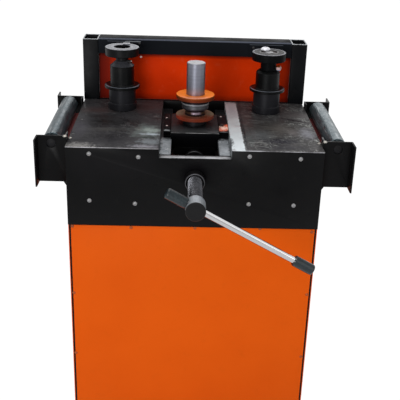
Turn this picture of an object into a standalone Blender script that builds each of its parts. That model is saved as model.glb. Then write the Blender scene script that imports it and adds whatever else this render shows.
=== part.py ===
"""Electric pipe bender.

A floor-standing cabinet carries a steel table. Two driven rollers stand at the back of the table.
A third roller stands on a carriage that slides in a channel through the table. A lead screw with
a sliding tommy bar pushes the carriage, so that a pipe laid between the three rollers is bent.

Lengths are in metres, +Z is up and +Y points to the back. Depths are measured from the front face
of the table and levels from its top. The origin is on the floor, at the middle of the outline.
"""

from math import acos, cos, pi, radians, sin, tan

import bmesh
import bpy
from mathutils import Matrix, Vector

# Clearances and cuts
SEAT = 0.0003
RUNNING = 0.0005
OVERRUN = 0.004
ROUND_STEPS = 24
HOLE_STEPS = 24
SMOOTH_ANGLE = radians(35.0)
FLAT_ANGLE = radians(0.1)

# Table
TABLE_WIDTH = 0.650
TABLE_DEPTH = 0.430
TABLE_HEIGHT = 0.860
PLATE_THICK = 0.024
PLATE_LIP = 0.003
CHANNEL_WIDTH = 0.183
RAIL_OPENING = 0.125
RAIL_WIDTH = 0.058
RAIL_THICK = 0.020

# Crossbar behind the apron, with the lead nut
CROSSBAR_DEPTH = 0.025
CROSSBAR_HALF = 0.150
CROSSBAR_HEIGHT = 0.106

# Cabinet
APRON_THICK = 0.004
APRON_DROP = 0.214
SHEET = 0.002
BASE_THICK = 0.006
SHEET_RISE = 0.010
FRONT_PANEL_INSET = 0.007
APRON_PANEL_GAP = 0.0015
POST_WIDTH = 0.040
REAR_POST_DEPTH = 0.070
TUBE_WALL = 0.003
REAR_PANEL_DROP = 0.030

# Orange lip that stands out from each side panel under the table
LIP_WIDTH = 0.013
LIP_THICK = 0.002

# Cooling slots in the rear panel
SLOT_COUNT = 7
SLOT_WIDTH = 0.090
SLOT_HEIGHT = 0.006
SLOT_PITCH = 0.016
SLOT_LEVEL = -0.340
SLOT_X = 0.130

# Backboard
BACK_RISE = 0.179
TOP_RAIL_HEIGHT = 0.041
LOWER_RAIL_HEIGHT = 0.040
BACK_PANEL_RECESS = 0.012
PAD_WIDTH = 0.098
PAD_THICK = 0.006
PAD_DROP = 0.004
PAD_HEIGHT = 0.032

# Gears
GEAR_MODULE = 0.006
DRIVE_TEETH = 37
SPINDLE_TEETH = 32
GEAR_FACE = 0.025
HOUSING_GEAR_GAP = 0.0107
PRESSURE_ANGLE = radians(20.0)
BACKLASH = 0.0006
ADDENDUM_SHARE = 1.0
DEDENDUM_SHARE = 1.25

# Rear spindles, set in from the table's rear edge. The left nut stands higher than the right one.
SPINDLE_SETBACK = 0.085
REAR_SHAFT_RADIUS = 0.020
SHAFT_END_RADIUS = 0.013
SHAFT_FOOT_RADIUS = 0.026
SHAFT_FOOT_THICK = 0.010
CHAMFER = 0.0015
PLATE_BORE_GAP = 0.002
ROLLER_BASE_RADIUS = 0.041
ROLLER_BASE_HEIGHT = 0.020
REAR_HUB_RADIUS = 0.038
REAR_HUB_TOP = 0.062
SLEEVE_FLANGE_RADIUS = 0.050
SLEEVE_FLANGE_THICK = 0.008
SLEEVE_RADIUS = 0.034
LEFT_SLEEVE_TOP = 0.125
RIGHT_SLEEVE_TOP = 0.122
RIGHT_SLEEVE_TAPER = 0.006
LEFT_NUT_HUB_RADIUS = 0.018
RIGHT_NUT_HUB_RADIUS = 0.0224
LEFT_NUT_CONE = 0.014
NUT_DISC_RADIUS = 0.0475
NUT_DISC_THICK = 0.023
LEFT_NUT_HUB_LENGTH = 0.029
RIGHT_NUT_HUB_LENGTH = 0.028
NUT_RECESS_RADIUS = 0.023
LEFT_NUT_RECESS = 0.016
RIGHT_NUT_RECESS = 0.002
LEFT_SHAFT_STUB = 0.025
RIGHT_SHAFT_STUB = 0.051

# Bearing housings under the table
HOUSING_FLANGE_RADIUS = 0.058
HOUSING_FLANGE_THICK = 0.012
HOUSING_RADIUS = 0.043
HOUSING_LENGTH = 0.115

# Carriage
CARRIAGE_FRONT = 0.144
CARRIAGE_LENGTH = 0.170
CARRIAGE_DROP = 0.005
CARRIAGE_PLATE_WIDTH = 0.129
EAR_THICK = 0.005
STEM_GAP = 0.0015
WING_SETBACK = 0.014
WING_SIDE_GAP = 0.0012
LEFT_WING_GAP = 0.0075
RIGHT_WING_GAP = 0.0007
CARRIAGE_BEVEL = 0.0012
KEEPER_WIDTH = 0.168
KEEPER_THICK = 0.014
SCREW_BLOCK_WIDTH = 0.112
SCREW_BLOCK_HEIGHT = 0.053

# Centre spindle, set in from the carriage's front
CENTRE_SETBACK = 0.085
CENTRE_SHAFT_RADIUS = 0.025
CENTRE_SHAFT_TOP = 0.166
SHAFT_COLLAR_RADIUS = 0.033
LOWER_FLANGE_LEVEL = 0.013
LOWER_FLANGE_THICK = 0.008
UPPER_FLANGE_LEVEL = 0.067
UPPER_FLANGE_THICK = 0.012
CENTRE_FLANGE_RADIUS = 0.052
CENTRE_HUB_RADIUS = 0.038
HUB_GROOVE = 0.0015
HUB_RIM_SHARE = 1 / 3
FLANGE_EDGE = 0.0015
CENTRE_FOOT_RADIUS = 0.030
CENTRE_FOOT_THICK = 0.015

# Lead screw, its nut and its thrust collar
SCREW_LEVEL = -0.0785
SCREW_RADIUS = 0.018
JOURNAL_RADIUS = 0.013
JOURNAL_LENGTH = 0.031
NUT_RADIUS = 0.023
NUT_FRONT = 0.004
NUT_FLANGE_RADIUS = 0.038
NUT_FLANGE_THICK = 0.010
THREAD_CLEARANCE = 0.0006
COLLAR_RADIUS = 0.028
COLLAR_LENGTH = 0.018

# Handle
HANDLE_RADIUS = 0.024
HANDLE_LENGTH = 0.047
HANDLE_FRONT = 0.209
HANDLE_CHAMFER = 0.003
SOCKET_RADIUS = 0.014
SOCKET_DEPTH = 0.011
BAR_RADIUS = 0.008
BAR_TILT = radians(28.8)
BAR_OVERALL = 0.405
GRIP_RADIUS = 0.0135
GRIP_LENGTH = 0.054
GRIP_WALL = 0.004
GRIP_ROUND = 0.004

# Side rollers and their brackets
IDLER_RADIUS = 0.024
IDLER_WALL = 0.003
IDLER_CAP = 0.006
IDLER_LEVEL = -0.004
IDLER_TABLE_GAP = 0.015
AXLE_RADIUS = 0.008
AXLE_BOSS_RADIUS = 0.0115
AXLE_BOSS_LENGTH = 0.0115
AXLE_RECESS = 0.002
IDLER_END_GAP = 0.0006
BRACKET_DEPTH = 0.032
BRACKET_SHEET = 0.004
BRACKET_TOP = 0.017
BRACKET_BOTTOM = -0.107
BRACKET_MARGIN = 0.013
OUTER_FLANGE = 0.044
INNER_FLANGE = 0.030
BRACKET_FOOT_WIDTH = 0.011
BRACKET_FOOT_DROP = 0.017

# Gear deck and drive
GEAR_DECK_GAP = 0.030
DECK_THICK = 0.010
DECK_END_GAP = 0.006
OUTPUT_COLLAR_RADIUS = 0.028
OUTPUT_CAP_RADIUS = 0.026
OUTPUT_CAP_THICK = 0.007
OUTPUT_DEPTH = 0.045
DECK_BORE_GAP = 0.004
GEARBOX_WIDTH = 0.150
GEARBOX_DEPTH = 0.130
GEARBOX_HEIGHT = 0.160
GEARBOX_BEVEL = 0.006
MOTOR_DECK_GAP = 0.013
MOTOR_FLANGE_RADIUS = 0.072
MOTOR_FLANGE_THICK = 0.010
MOTOR_RADIUS = 0.060
MOTOR_FIN_HEIGHT = 0.009
MOTOR_FIN_COUNT = 18
MOTOR_LENGTH = 0.125
FAN_COVER_LENGTH = 0.045
TERMINAL_BOX = (0.070, 0.030, 0.060)

# Electrical box and cable gland
ELECTRIC_BOX = (0.140, 0.090, 0.200)
ELECTRIC_X = -0.150
ELECTRIC_LEVEL = -0.430
BOX_BEVEL = 0.003
GLAND_RISE = 0.050
GLAND_THREAD_RADIUS = 0.010
GLAND_BODY_RADIUS = 0.014
GLAND_NUT_RADIUS = 0.0125
GLAND_BORE_RADIUS = 0.005
GLAND_BODY_LENGTH = 0.008
GLAND_LENGTH = 0.022

# Places worked out from the sizes above
CABINET_DEPTH = TABLE_DEPTH + REAR_POST_DEPTH
REAR_REACH = CABINET_DEPTH + SEAT + SHEET + SEAT + GLAND_LENGTH
FRONT_Y = (HANDLE_FRONT - REAR_REACH) / 2
FRAME_HALF = TABLE_WIDTH / 2 - SHEET - SEAT
FRAME_FRONT = APRON_THICK + SEAT
INNER_HALF = FRAME_HALF - POST_WIDTH - SEAT
RAIL_TOP = -PLATE_THICK - SEAT
RAIL_BOTTOM = RAIL_TOP - RAIL_THICK
SPINDLE_X = GEAR_MODULE * (DRIVE_TEETH + SPINDLE_TEETH) / 2
REAR_SPINDLE_DEPTH = TABLE_DEPTH - SPINDLE_SETBACK
PLATE_BORE_RADIUS = REAR_SHAFT_RADIUS + PLATE_BORE_GAP
GEAR_LEVEL = RAIL_TOP - HOUSING_LENGTH - HOUSING_GEAR_GAP
GEAR_BOTTOM = GEAR_LEVEL - GEAR_FACE
SLEEVE_TOP = {-1: LEFT_SLEEVE_TOP, 1: RIGHT_SLEEVE_TOP}
NUT_HUB_RADIUS = {-1: LEFT_NUT_HUB_RADIUS, 1: RIGHT_NUT_HUB_RADIUS}
NUT_HUB_LENGTH = {-1: LEFT_NUT_HUB_LENGTH, 1: RIGHT_NUT_HUB_LENGTH}
NUT_RECESS_DEPTH = {-1: LEFT_NUT_RECESS, 1: RIGHT_NUT_RECESS}
SHAFT_TOP = {-1: LEFT_SLEEVE_TOP + LEFT_SHAFT_STUB, 1: RIGHT_SLEEVE_TOP + RIGHT_SHAFT_STUB}
WING_REACH = {-1: CHANNEL_WIDTH / 2 - LEFT_WING_GAP, 1: CHANNEL_WIDTH / 2 - RIGHT_WING_GAP}
WING_FRONT = CARRIAGE_FRONT + WING_SETBACK
CARRIAGE_REAR = CARRIAGE_FRONT + CARRIAGE_LENGTH
CENTRE_DEPTH = CARRIAGE_FRONT + CENTRE_SETBACK
EAR_TOP = RAIL_TOP + RUNNING + EAR_THICK
STEM_HALF = RAIL_OPENING / 2 - STEM_GAP
KEEPER_TOP = RAIL_BOTTOM - RUNNING
KEEPER_BOTTOM = KEEPER_TOP - KEEPER_THICK
BLOCK_BOTTOM = KEEPER_BOTTOM - SCREW_BLOCK_HEIGHT
HANDLE_REAR = HANDLE_LENGTH - HANDLE_FRONT
BAR_DEPTH = HANDLE_LENGTH / 2 - HANDLE_FRONT
INNER_GRIP_NEAR = HANDLE_RADIUS + SEAT
INNER_GRIP_FAR = INNER_GRIP_NEAR + GRIP_LENGTH
OUTER_GRIP_FAR = BAR_OVERALL - INNER_GRIP_FAR
IDLER_REACH = TABLE_WIDTH / 2 + IDLER_TABLE_GAP + IDLER_RADIUS
BRACKET_REACH = IDLER_REACH + IDLER_RADIUS + BRACKET_MARGIN
DECK_LEVEL = GEAR_BOTTOM - GEAR_DECK_GAP
DECK_BORE_RADIUS = REAR_SHAFT_RADIUS + DECK_BORE_GAP
GEARBOX_TOP = DECK_LEVEL - DECK_THICK - SEAT
MOTOR_LEVEL = DECK_LEVEL - DECK_THICK - MOTOR_DECK_GAP - MOTOR_FLANGE_RADIUS
GLAND_LEVEL = ELECTRIC_LEVEL - ELECTRIC_BOX[2] + GLAND_RISE

# Finishes: base colour, metallic, roughness
FINISHES = {
    "orange_paint": ((0.70, 0.10, 0.01), 0.0, 0.35),
    "black_paint": ((0.012, 0.012, 0.014), 0.0, 0.30),
    "table_steel": ((0.30, 0.28, 0.27), 0.9, 0.40),
    "bright_steel": ((0.55, 0.55, 0.54), 1.0, 0.25),
    "dark_steel": ((0.06, 0.06, 0.065), 0.8, 0.45),
    "galvanised": ((0.42, 0.46, 0.48), 0.9, 0.45),
    "chrome": ((0.80, 0.80, 0.80), 1.0, 0.10),
    "grip_plastic": ((0.045, 0.048, 0.055), 0.0, 0.50),
    "worn_orange": ((0.45, 0.13, 0.04), 0.4, 0.50),
    "motor_grey": ((0.20, 0.24, 0.27), 0.2, 0.50),
    "bronze": ((0.50, 0.33, 0.15), 1.0, 0.35),
    "light_enamel": ((0.60, 0.60, 0.57), 0.0, 0.45),
    "gland_nylon": ((0.05, 0.05, 0.05), 0.0, 0.50),
}


def clear_scene():
    """Removes what the scene holds."""
    for item in list(bpy.data.objects):
        bpy.data.objects.remove(item, do_unlink=True)


def new_collection(name):
    """Adds a collection to the scene."""
    collection = bpy.data.collections.new(name)
    bpy.context.scene.collection.children.link(collection)
    return collection


clear_scene()
PARTS = new_collection("electric_pipe_bender")
CUTTERS = new_collection("cutters")


def y_at(depth):
    """World Y of a depth behind the table's front face."""
    return FRONT_Y + depth


def z_at(level):
    """World Z of a level above the table's top."""
    return TABLE_HEIGHT + level


def finish_material(name):
    """The material of a finish, made on first use."""
    material = bpy.data.materials.get(name)
    if material is None:
        colour, metallic, roughness = FINISHES[name]
        material = bpy.data.materials.new(name)
        material.use_nodes = True
        shader = material.node_tree.nodes["Principled BSDF"]
        shader.inputs["Base Color"].default_value = (*colour, 1.0)
        shader.inputs["Metallic"].default_value = metallic
        shader.inputs["Roughness"].default_value = roughness
        material.diffuse_color = (*colour, 1.0)
    return material


def add_part(name, mesh, finish):
    """Links a mesh as a named sub-part with a material of its own."""
    part = bpy.data.objects.new(name, mesh)
    part.data.materials.clear()
    part.data.materials.append(finish_material(finish))
    PARTS.objects.link(part)
    return part


def add_cutter(name, mesh):
    """Links a mesh as a hidden cutter."""
    cutter = bpy.data.objects.new(name, mesh)
    CUTTERS.objects.link(cutter)
    cutter.hide_render = True
    cutter.display_type = "WIRE"
    return cutter


def combine(part, other, operation):
    """Cuts a part with a hidden object, or joins the object to it."""
    modifier = part.modifiers.new(f"{operation.lower()}_{other.name}", "BOOLEAN")
    modifier.operation = operation
    modifier.object = other
    modifier.solver = "EXACT"
    return part


def bevel(part, width):
    """Rounds a part's sharp edges."""
    modifier = part.modifiers.new("rounded_edges", "BEVEL")
    modifier.width = width
    modifier.segments = 2
    modifier.limit_method = "ANGLE"
    return part


def box_mesh(name, x_span, y_span, z_span):
    """A box between three pairs of world coordinates."""
    spans = [sorted(span) for span in (x_span, y_span, z_span)]
    size = Vector([high - low for low, high in spans])
    middle = Vector([(high + low) / 2 for low, high in spans])
    shape = bmesh.new()
    place = Matrix.Translation(middle) @ Matrix.Diagonal((*size, 1.0))
    bmesh.ops.create_cube(shape, size=1.0, matrix=place)
    mesh = bpy.data.meshes.new(name)
    shape.to_mesh(mesh)
    shape.free()
    return mesh


def box(name, x_span, y_span, z_span, finish):
    """A box-shaped sub-part."""
    return add_part(name, box_mesh(name, x_span, y_span, z_span), finish)


def cut_box(part, name, x_span, y_span, z_span):
    """Cuts a box out of a part."""
    return combine(part, add_cutter(name, box_mesh(name, x_span, y_span, z_span)), "DIFFERENCE")


def join_box(part, name, x_span, y_span, z_span):
    """Joins a box to a part."""
    return combine(part, add_cutter(name, box_mesh(name, x_span, y_span, z_span)), "UNION")


AXIS_TURNS = {
    "Z": Matrix.Identity(4),
    "Y": Matrix.Rotation(-pi / 2, 4, "X"),
    "X": Matrix.Rotation(pi / 2, 4, "Y"),
}


def rod_mesh(name, radius, length, centre, turn, steps):
    """A cylinder about a centre, along the turned Z axis."""
    shape = bmesh.new()
    place = Matrix.Translation(centre) @ turn
    bmesh.ops.create_cone(
        shape, cap_ends=True, segments=steps, radius1=radius, radius2=radius, depth=length, matrix=place
    )
    mesh = bpy.data.meshes.new(name)
    shape.to_mesh(mesh)
    shape.free()
    return mesh


def cut_hole(part, name, radius, centre, axis, length):
    """Cuts a round hole, whose flats clear the radius, through a part."""
    turn = AXIS_TURNS[axis] if isinstance(axis, str) else axis
    across = radius / cos(pi / HOLE_STEPS)
    mesh = rod_mesh(name, across, length, Vector(centre), turn, HOLE_STEPS)
    return combine(part, add_cutter(name, mesh), "DIFFERENCE")


def settle(part):
    """Turns a part's curve or modifiers into a clean closed mesh and shades it smooth."""
    bpy.context.view_layer.update()
    evaluated = part.evaluated_get(bpy.context.evaluated_depsgraph_get())
    mesh = bpy.data.meshes.new_from_object(evaluated)
    shape = bmesh.new()
    shape.from_mesh(mesh)
    bmesh.ops.remove_doubles(shape, verts=shape.verts, dist=SEAT / 10)
    bmesh.ops.recalc_face_normals(shape, faces=shape.faces)
    shape.to_mesh(mesh)
    shape.free()
    mesh.name = part.name
    mesh.shade_smooth()
    mesh.set_sharp_from_angle(angle=SMOOTH_ANGLE)
    return mesh


def turned_mesh(name, profile, closed, turn, steps):
    """A profile of radius and height pairs, outer side listed downwards, turned about Z."""
    mesh = bpy.data.meshes.new(name + "_profile")
    edges = [(index, index + 1) for index in range(len(profile) - 1)]
    if closed:
        edges.append((len(profile) - 1, 0))
    mesh.from_pydata([(radius, 0.0, height) for radius, height in profile], edges, [])
    guide = bpy.data.objects.new(name, mesh)
    CUTTERS.objects.link(guide)
    screw = guide.modifiers.new("turn", "SCREW")
    screw.steps = steps
    screw.render_steps = steps
    screw.use_merge_vertices = True
    screw.merge_threshold = SEAT / 10
    result = settle(guide)
    bpy.data.objects.remove(guide, do_unlink=True)
    result.transform(turn)
    return result


def turned(name, profile, place, axis, finish, closed=False, steps=ROUND_STEPS):
    """A turned sub-part with its origin on its own axis."""
    turn = AXIS_TURNS[axis] if isinstance(axis, str) else axis
    part = add_part(name, turned_mesh(name, profile, closed, turn, steps), finish)
    part.location = place
    return part


def ring(name, outer, bore, place, axis, finish, steps=ROUND_STEPS):
    """A turned sub-part with a plain bore right through it."""
    low = min(height for _, height in outer)
    high = max(height for _, height in outer)
    return turned(name, outer + [(bore, low), (bore, high)], place, axis, finish, True, steps)


def join_flat_faces(mesh):
    """Joins the triangles of each flat face, which may be slivers where points lie in line."""
    shape = bmesh.new()
    shape.from_mesh(mesh)
    bmesh.ops.dissolve_limit(shape, angle_limit=FLAT_ANGLE, verts=shape.verts, edges=shape.edges)
    shape.to_mesh(mesh)
    shape.free()


def outline_mesh(name, points, thickness, turn, holes=()):
    """A flat outline filled and thickened about its own plane, then turned into place."""
    curve = bpy.data.curves.new(name, "CURVE")
    curve.dimensions = "2D"
    curve.fill_mode = "BOTH"
    curve.extrude = thickness / 2
    for loop in (points, *holes):
        spline = curve.splines.new("POLY")
        spline.points.add(len(loop) - 1)
        for point, (across, up) in zip(spline.points, loop):
            point.co = (across, up, 0.0, 1.0)
        spline.use_cyclic_u = True
    guide = bpy.data.objects.new(name, curve)
    CUTTERS.objects.link(guide)
    mesh = settle(guide)
    bpy.data.objects.remove(guide, do_unlink=True)
    join_flat_faces(mesh)
    mesh.transform(turn)
    return mesh


# Turns that lay an outline's own X and Y along two world axes
PLAN = Matrix.Identity(4)
FRONT_VIEW = Matrix.Rotation(pi / 2, 4, "X")
SIDE_VIEW = Matrix.Rotation(pi / 2, 4, "Z") @ FRONT_VIEW


def circle(radius, steps):
    """Points around a circle."""
    return [(radius * cos(2 * pi * k / steps), radius * sin(2 * pi * k / steps)) for k in range(steps)]


def span(centre, half):
    """The pair of coordinates a half width either side of a centre."""
    return (centre - half, centre + half)


def side_span(side, near, far):
    """The pair of X coordinates between two distances out on one side."""
    return (side * near, side * far)


SIDES = {-1: "left", 1: "right"}


def base_plate():
    """Steel plate that the posts stand on."""
    box(
        "base_plate",
        span(0.0, FRAME_HALF),
        (y_at(FRAME_FRONT), y_at(CABINET_DEPTH)),
        (0.0, BASE_THICK),
        "black_paint",
    )


def tube_post(name, side, depths, top):
    """A rectangular tube on the base plate, open at its top."""
    inner, outer = FRAME_HALF - POST_WIDTH, FRAME_HALF
    foot = BASE_THICK + SEAT
    near, far = depths
    post = box(
        name,
        side_span(side, inner, outer),
        (y_at(near), y_at(far)),
        (foot, top),
        "black_paint",
    )
    cut_box(
        post,
        name + "_inside",
        side_span(side, inner + TUBE_WALL, outer - TUBE_WALL),
        (y_at(near + TUBE_WALL), y_at(far - TUBE_WALL)),
        (foot - OVERRUN, top + OVERRUN),
    )


def posts():
    """Two front posts under the table and two rear posts that rise as the backboard's ends."""
    for side, word in SIDES.items():
        front = (FRAME_FRONT, FRAME_FRONT + POST_WIDTH)
        tube_post(f"front_{word}_post", side, front, z_at(RAIL_TOP))
        rear = (TABLE_DEPTH, CABINET_DEPTH)
        tube_post(f"rear_{word}_post", side, rear, z_at(BACK_RISE))


def top_rail():
    """Rail between the tops of the rear posts, with a pad behind each rear roller."""
    bottom = BACK_RISE - TOP_RAIL_HEIGHT
    rail = box(
        "top_rail",
        span(0.0, INNER_HALF),
        (y_at(TABLE_DEPTH), y_at(CABINET_DEPTH)),
        (z_at(bottom), z_at(BACK_RISE)),
        "black_paint",
    )
    pad_top = BACK_RISE - PAD_DROP
    for side, word in SIDES.items():
        join_box(
            rail,
            f"{word}_pad",
            span(side * SPINDLE_X, PAD_WIDTH / 2),
            (y_at(TABLE_DEPTH - PAD_THICK), y_at(TABLE_DEPTH + PAD_THICK)),
            (z_at(pad_top - PAD_HEIGHT), z_at(pad_top)),
        )


def lower_rail():
    """Rail behind the table, that closes the channel and carries the back panel."""
    box(
        "lower_rear_rail",
        span(0.0, INNER_HALF),
        (y_at(TABLE_DEPTH), y_at(CABINET_DEPTH)),
        (z_at(-LOWER_RAIL_HEIGHT), z_at(0.0)),
        "black_paint",
    )


def backboard_panel():
    """Orange sheet set back between the posts and the two rails."""
    face = TABLE_DEPTH + BACK_PANEL_RECESS
    box(
        "backboard_panel",
        span(0.0, INNER_HALF),
        (y_at(face), y_at(face + SHEET)),
        (z_at(SEAT), z_at(BACK_RISE - TOP_RAIL_HEIGHT - SEAT)),
        "orange_paint",
    )


def table_plates():
    """Thick plates either side of the channel, whose lip covers the apron's top edge."""
    back = TABLE_DEPTH - SEAT
    section = [
        (FRAME_FRONT, -PLATE_THICK),
        (back, -PLATE_THICK),
        (back, 0.0),
        (0.0, 0.0),
        (0.0, -PLATE_LIP),
        (FRAME_FRONT, -PLATE_LIP),
    ]
    width = (TABLE_WIDTH - CHANNEL_WIDTH) / 2
    for side, word in SIDES.items():
        mesh = outline_mesh(f"table_plate_{word}", section, width, SIDE_VIEW)
        mesh.transform(Matrix.Translation((side * (CHANNEL_WIDTH + width) / 2, 0.0, 0.0)))
        plate = add_part(f"table_plate_{word}", mesh, "table_steel")
        plate.location = (0.0, FRONT_Y, TABLE_HEIGHT)
        cut_hole(
            plate,
            f"{word}_spindle_hole",
            PLATE_BORE_RADIUS,
            (side * SPINDLE_X, y_at(REAR_SPINDLE_DEPTH), z_at(-PLATE_THICK / 2)),
            "Z",
            PLATE_THICK + OVERRUN,
        )


def guide_rails():
    """Bars under the plates, whose inner edges are the ledges the carriage rides on."""
    near = RAIL_OPENING / 2
    for side, word in SIDES.items():
        box(
            f"guide_rail_{word}",
            side_span(side, near, near + RAIL_WIDTH),
            (y_at(CROSSBAR_DEPTH + SEAT), y_at(TABLE_DEPTH - SEAT)),
            (z_at(RAIL_BOTTOM), z_at(RAIL_TOP)),
            "table_steel",
        )


def front_crossbar():
    """Bar across the front of the channel, bored for the lead nut, with a lip over the apron."""
    bar = box(
        "front_crossbar",
        span(0.0, CROSSBAR_HALF),
        (y_at(FRAME_FRONT), y_at(CROSSBAR_DEPTH)),
        (z_at(RAIL_TOP - CROSSBAR_HEIGHT), z_at(RAIL_TOP)),
        "table_steel",
    )
    join_box(
        bar,
        "crossbar_lip",
        span(0.0, CHANNEL_WIDTH / 2 - SEAT),
        (y_at(0.0), y_at(FRAME_FRONT + PLATE_LIP)),
        (z_at(RAIL_TOP - PLATE_LIP), z_at(RAIL_TOP)),
    )
    cut_hole(
        bar,
        "crossbar_nut_hole",
        NUT_RADIUS + SEAT,
        (0.0, y_at(CROSSBAR_DEPTH / 2), z_at(SCREW_LEVEL)),
        "Y",
        2 * CROSSBAR_DEPTH,
    )


def lead_nut():
    """Bronze nut held in the crossbar, with its flange behind it and its nose through the apron."""
    flange_front = CROSSBAR_DEPTH + SEAT
    flange_rear = flange_front + NUT_FLANGE_THICK
    outer = [
        (NUT_FLANGE_RADIUS, flange_rear),
        (NUT_FLANGE_RADIUS, flange_front),
        (NUT_RADIUS, flange_front),
        (NUT_RADIUS, CHAMFER - NUT_FRONT),
        (NUT_RADIUS - CHAMFER, -NUT_FRONT),
    ]
    place = (0.0, FRONT_Y, z_at(SCREW_LEVEL))
    ring("lead_nut", outer, SCREW_RADIUS + THREAD_CLEARANCE, place, "Y", "bronze")


def front_apron():
    """Black sheet across the cabinet's top front, notched under the channel."""
    half = TABLE_WIDTH / 2
    top = -PLATE_LIP - SEAT
    notch = RAIL_TOP - PLATE_LIP - SEAT
    apron = box(
        "front_apron",
        span(0.0, half),
        (y_at(0.0), y_at(APRON_THICK)),
        (z_at(-APRON_DROP), z_at(top)),
        "black_paint",
    )
    cut_box(
        apron,
        "apron_notch",
        span(0.0, CHANNEL_WIDTH / 2),
        (y_at(-OVERRUN), y_at(APRON_THICK + OVERRUN)),
        (z_at(notch), z_at(top + OVERRUN)),
    )
    cut_hole(
        apron,
        "apron_screw_hole",
        NUT_RADIUS + SEAT,
        (0.0, y_at(APRON_THICK / 2), z_at(SCREW_LEVEL)),
        "Y",
        APRON_THICK + OVERRUN,
    )


def front_panel():
    """Orange sheet below the apron, narrower than the frame behind it."""
    panel = box(
        "front_panel",
        span(0.0, TABLE_WIDTH / 2 - FRONT_PANEL_INSET),
        (y_at(APRON_THICK - SHEET), y_at(APRON_THICK)),
        (SHEET_RISE, z_at(-APRON_DROP - APRON_PANEL_GAP)),
        "orange_paint",
    )
    bevel(panel, SHEET / 4)


def side_panels():
    """Orange sheets on the cabinet's sides, each with a lip folded outwards at the top."""
    near = TABLE_WIDTH / 2 - SHEET
    lip_front = BRACKET_DEPTH + BRACKET_SHEET + INNER_FLANGE + SEAT
    lip_rear = TABLE_DEPTH - lip_front
    for side, word in SIDES.items():
        panel = box(
            f"{word}_panel",
            side_span(side, near, near + SHEET),
            (y_at(FRAME_FRONT), y_at(CABINET_DEPTH)),
            (SHEET_RISE, z_at(RAIL_TOP)),
            "orange_paint",
        )
        join_box(
            panel,
            f"{word}_lip",
            side_span(side, near + SHEET / 2, near + SHEET + LIP_WIDTH),
            (y_at(lip_front), y_at(lip_rear)),
            (z_at(RAIL_TOP - LIP_THICK), z_at(RAIL_TOP)),
        )


def rear_panel():
    """Orange sheet behind the cabinet, slotted beside the motor and bored for the cable gland."""
    near = CABINET_DEPTH + SEAT
    through = (y_at(near - OVERRUN), y_at(near + SHEET + OVERRUN))
    panel = box(
        "rear_panel",
        span(0.0, FRAME_HALF),
        (y_at(near), y_at(near + SHEET)),
        (SHEET_RISE, z_at(-REAR_PANEL_DROP)),
        "orange_paint",
    )
    for index in range(SLOT_COUNT):
        level = z_at(SLOT_LEVEL + SLOT_PITCH * index)
        cut_box(
            panel,
            f"cooling_slot_{index + 1}",
            span(SLOT_X, SLOT_WIDTH / 2),
            through,
            (level, level + SLOT_HEIGHT),
        )
    cut_hole(
        panel,
        "gland_hole",
        GLAND_THREAD_RADIUS + SEAT,
        (ELECTRIC_X, y_at(near), z_at(GLAND_LEVEL)),
        "Y",
        2 * OVERRUN + SHEET,
    )


def join_bracket_foot(part, side, depth):
    """Joins the tapered foot below a bracket, beside the cabinet, about this depth."""
    inner = TABLE_WIDTH / 2 + 2 * SEAT
    outer = inner + BRACKET_FOOT_WIDTH
    points = [
        (side * inner, BRACKET_BOTTOM - BRACKET_FOOT_DROP),
        (side * outer, BRACKET_BOTTOM),
        (side * outer, BRACKET_BOTTOM + BRACKET_FOOT_DROP),
        (side * inner, BRACKET_BOTTOM + BRACKET_FOOT_DROP),
    ]
    mesh = outline_mesh(part.name + "_foot", points, BRACKET_SHEET - 2 * SEAT, FRONT_VIEW)
    mesh.transform(Matrix.Translation((0.0, y_at(depth), TABLE_HEIGHT)))
    combine(part, add_cutter(part.name + "_foot", mesh), "UNION")


def bracket(name, side, plate_near, outwards):
    """Folded sheet that holds one end of a side roller. Outwards is -1 at the front, 1 at the back."""
    inner = TABLE_WIDTH / 2 + SEAT
    fold_out = plate_near + outwards * BRACKET_SHEET
    free_edge = plate_near + outwards * OUTER_FLANGE
    fixed_edge = plate_near - outwards * INNER_FLANGE
    plan = [
        (inner, fixed_edge),
        (inner, fold_out),
        (BRACKET_REACH - BRACKET_SHEET, fold_out),
        (BRACKET_REACH - BRACKET_SHEET, free_edge),
        (BRACKET_REACH, free_edge),
        (BRACKET_REACH, plate_near),
        (inner + BRACKET_SHEET, plate_near),
        (inner + BRACKET_SHEET, fixed_edge),
    ]
    plan = [(side * across, depth) for across, depth in plan]
    mesh = outline_mesh(name, plan, BRACKET_TOP - BRACKET_BOTTOM, PLAN)
    part = add_part(name, mesh, "black_paint")
    part.location = (0.0, FRONT_Y, z_at((BRACKET_TOP + BRACKET_BOTTOM) / 2))
    middle = (plate_near + fold_out) / 2
    join_bracket_foot(part, side, middle)
    cut_hole(
        part,
        name + "_axle_hole",
        AXLE_BOSS_RADIUS + SEAT,
        (side * IDLER_REACH, y_at(middle), z_at(IDLER_LEVEL)),
        "Y",
        BRACKET_SHEET + OVERRUN,
    )


def brackets():
    """One bracket at each end of both side rollers."""
    for side, word in SIDES.items():
        front = BRACKET_DEPTH + BRACKET_SHEET
        bracket(f"front_{word}_bracket", side, front, -1)
        bracket(f"rear_{word}_bracket", side, TABLE_DEPTH - front, 1)


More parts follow.
